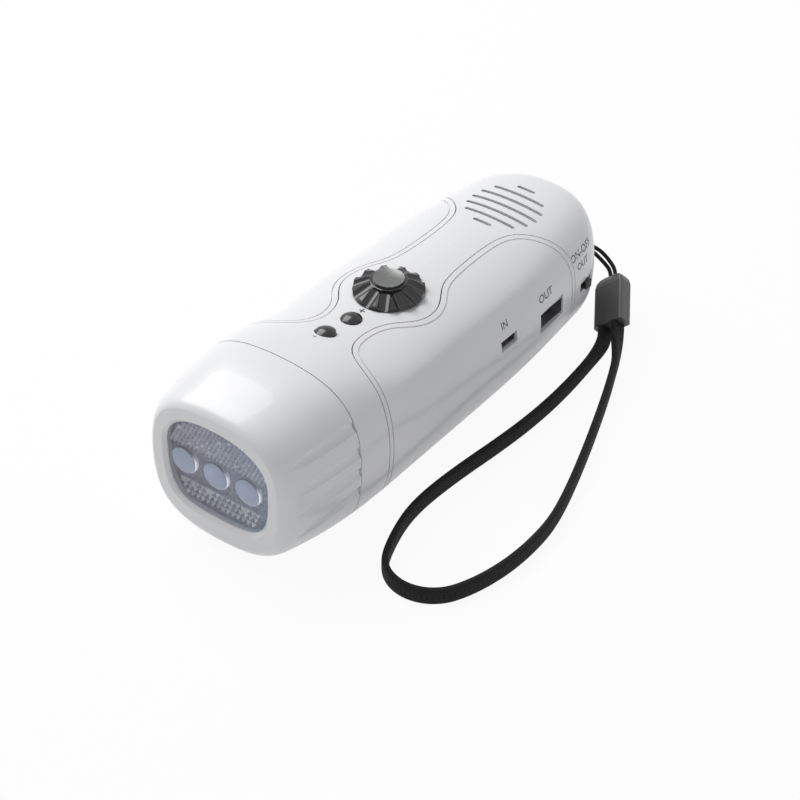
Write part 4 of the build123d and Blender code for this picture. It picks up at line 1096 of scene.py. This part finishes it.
# ---------------------------------------------------------------- studio
@dataclass
class Studio:
    """Camera, floor and soft light."""

    camera_at: tuple[float, float, float] = (0.40816, -0.53592, 0.54140)
    azimuth: float = 37.2336
    elevation: float = 38.5837
    roll: float = 0.158
    lens: float = 118.082

    def build(self) -> None:
        """Sets the whole studio up."""
        self._camera()
        self._floor()
        self._world()
        self._softbox("key", (-0.62, 0.05, 0.85), 0.8, 8.8)
        view = bpy.context.scene.view_settings
        view.view_transform = "Standard"

    def _camera(self) -> None:
        """The camera at the photograph's viewpoint."""
        a, e, r = (math.radians(v) for v in (self.azimuth, self.elevation, self.roll))
        back = Vector((math.sin(a) * math.cos(e), -math.cos(a) * math.cos(e), math.sin(e)))
        right = Vector((math.cos(a), math.sin(a), 0))
        up = back.cross(right)
        right, up = right * math.cos(r) + up * math.sin(r), up * math.cos(r) - right * math.sin(r)
        data = bpy.data.cameras.new("camera")
        data.sensor_width = 36.0
        data.lens = self.lens
        data.clip_start, data.clip_end = 0.01, 20.0
        camera = bpy.data.objects.new("camera", data)
        bpy.context.scene.collection.objects.link(camera)
        turn = Matrix((right, up, back)).transposed().to_4x4()
        camera.matrix_world = Matrix.Translation(self.camera_at) @ turn
        bpy.context.scene.camera = camera

    def _floor(self) -> None:
        """A plain white floor that keeps a soft shadow."""
        mesh = bmesh.new()
        bmesh.ops.create_grid(mesh, x_segments=2, y_segments=2, size=6.0)
        data = bpy.data.meshes.new("studio_floor")
        mesh.to_mesh(data)
        mesh.free()
        floor = bpy.data.objects.new("studio_floor", data)
        floor.location.z = -0.0002
        bpy.context.scene.collection.objects.link(floor)
        nodes = Nodes("studio_floor_white")
        paper = nodes.node("ShaderNodeBsdfDiffuse", {}, {"Color": (0.9, 0.9, 0.9)})[0]
        glow = nodes.node("ShaderNodeEmission", {}, {"Color": (1.0, 1.0, 1.0), "Strength": 1.0})[0]
        seen = self._seen(nodes)
        mixed = nodes.node("ShaderNodeMixShader", {}, {0: seen * 0.93, 1: paper, 2: glow})[0]
        nodes.node("ShaderNodeOutputMaterial", {}, {"Surface": mixed})
        data.materials.append(nodes.material)

    @staticmethod
    def _seen(nodes: Nodes) -> Value:
        """One for rays from the camera, also by way of gloss or clear plastic."""
        camera = nodes.named_output("ShaderNodeLightPath", "Is Camera Ray")
        glossy = nodes.named_output("ShaderNodeLightPath", "Is Glossy Ray")
        through = nodes.named_output("ShaderNodeLightPath", "Is Transmission Ray")
        return camera.higher(glossy * 0.85).higher(through)

    def _world(self) -> None:
        """Even light from all round, and white behind everything."""
        world = bpy.data.worlds.new("studio_world")
        world.use_nodes = True
        tree = world.node_tree
        tree.nodes.clear()
        nodes = Nodes.__new__(Nodes)
        nodes.tree = tree
        seen = self._seen(nodes)
        ambient = nodes.node("ShaderNodeBackground", {}, {"Color": (0.97, 0.98, 1.0), "Strength": 0.42})[0]
        white = nodes.node("ShaderNodeBackground", {}, {"Color": (1.0, 1.0, 1.0), "Strength": 1.0})[0]
        mixed = nodes.node("ShaderNodeMixShader", {}, {0: seen, 1: ambient, 2: white})[0]
        nodes.node("ShaderNodeOutputWorld", {}, {"Surface": mixed})
        bpy.context.scene.world = world

    @staticmethod
    def _softbox(name: str, place: tuple[float, float, float], size: float, power: float) -> None:
        """A square soft light aimed at the torch."""
        data = bpy.data.lights.new(name, "AREA")
        data.energy, data.size = power, size
        lamp = bpy.data.objects.new(name, data)
        lamp.location = place
        lamp.rotation_mode = "QUATERNION"
        lamp.rotation_quaternion = (-Vector(place)).to_track_quat("-Z", "Y")
        bpy.context.scene.collection.objects.link(lamp)


def main() -> None:
    """Dresses the torch and sets up its studio."""
    logging.basicConfig(level=logging.INFO, format="%(name)s: %(message)s")
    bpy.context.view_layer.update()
    paint = Paint()
    Studio().build()
    WristStrap(paint).build()
    Head(paint).build()
    Casing(paint).build()
    Controls(paint).build()
    Electrics(paint).build()
    CrankDrive(paint).build()


if __name__ == "__main__":
    main()
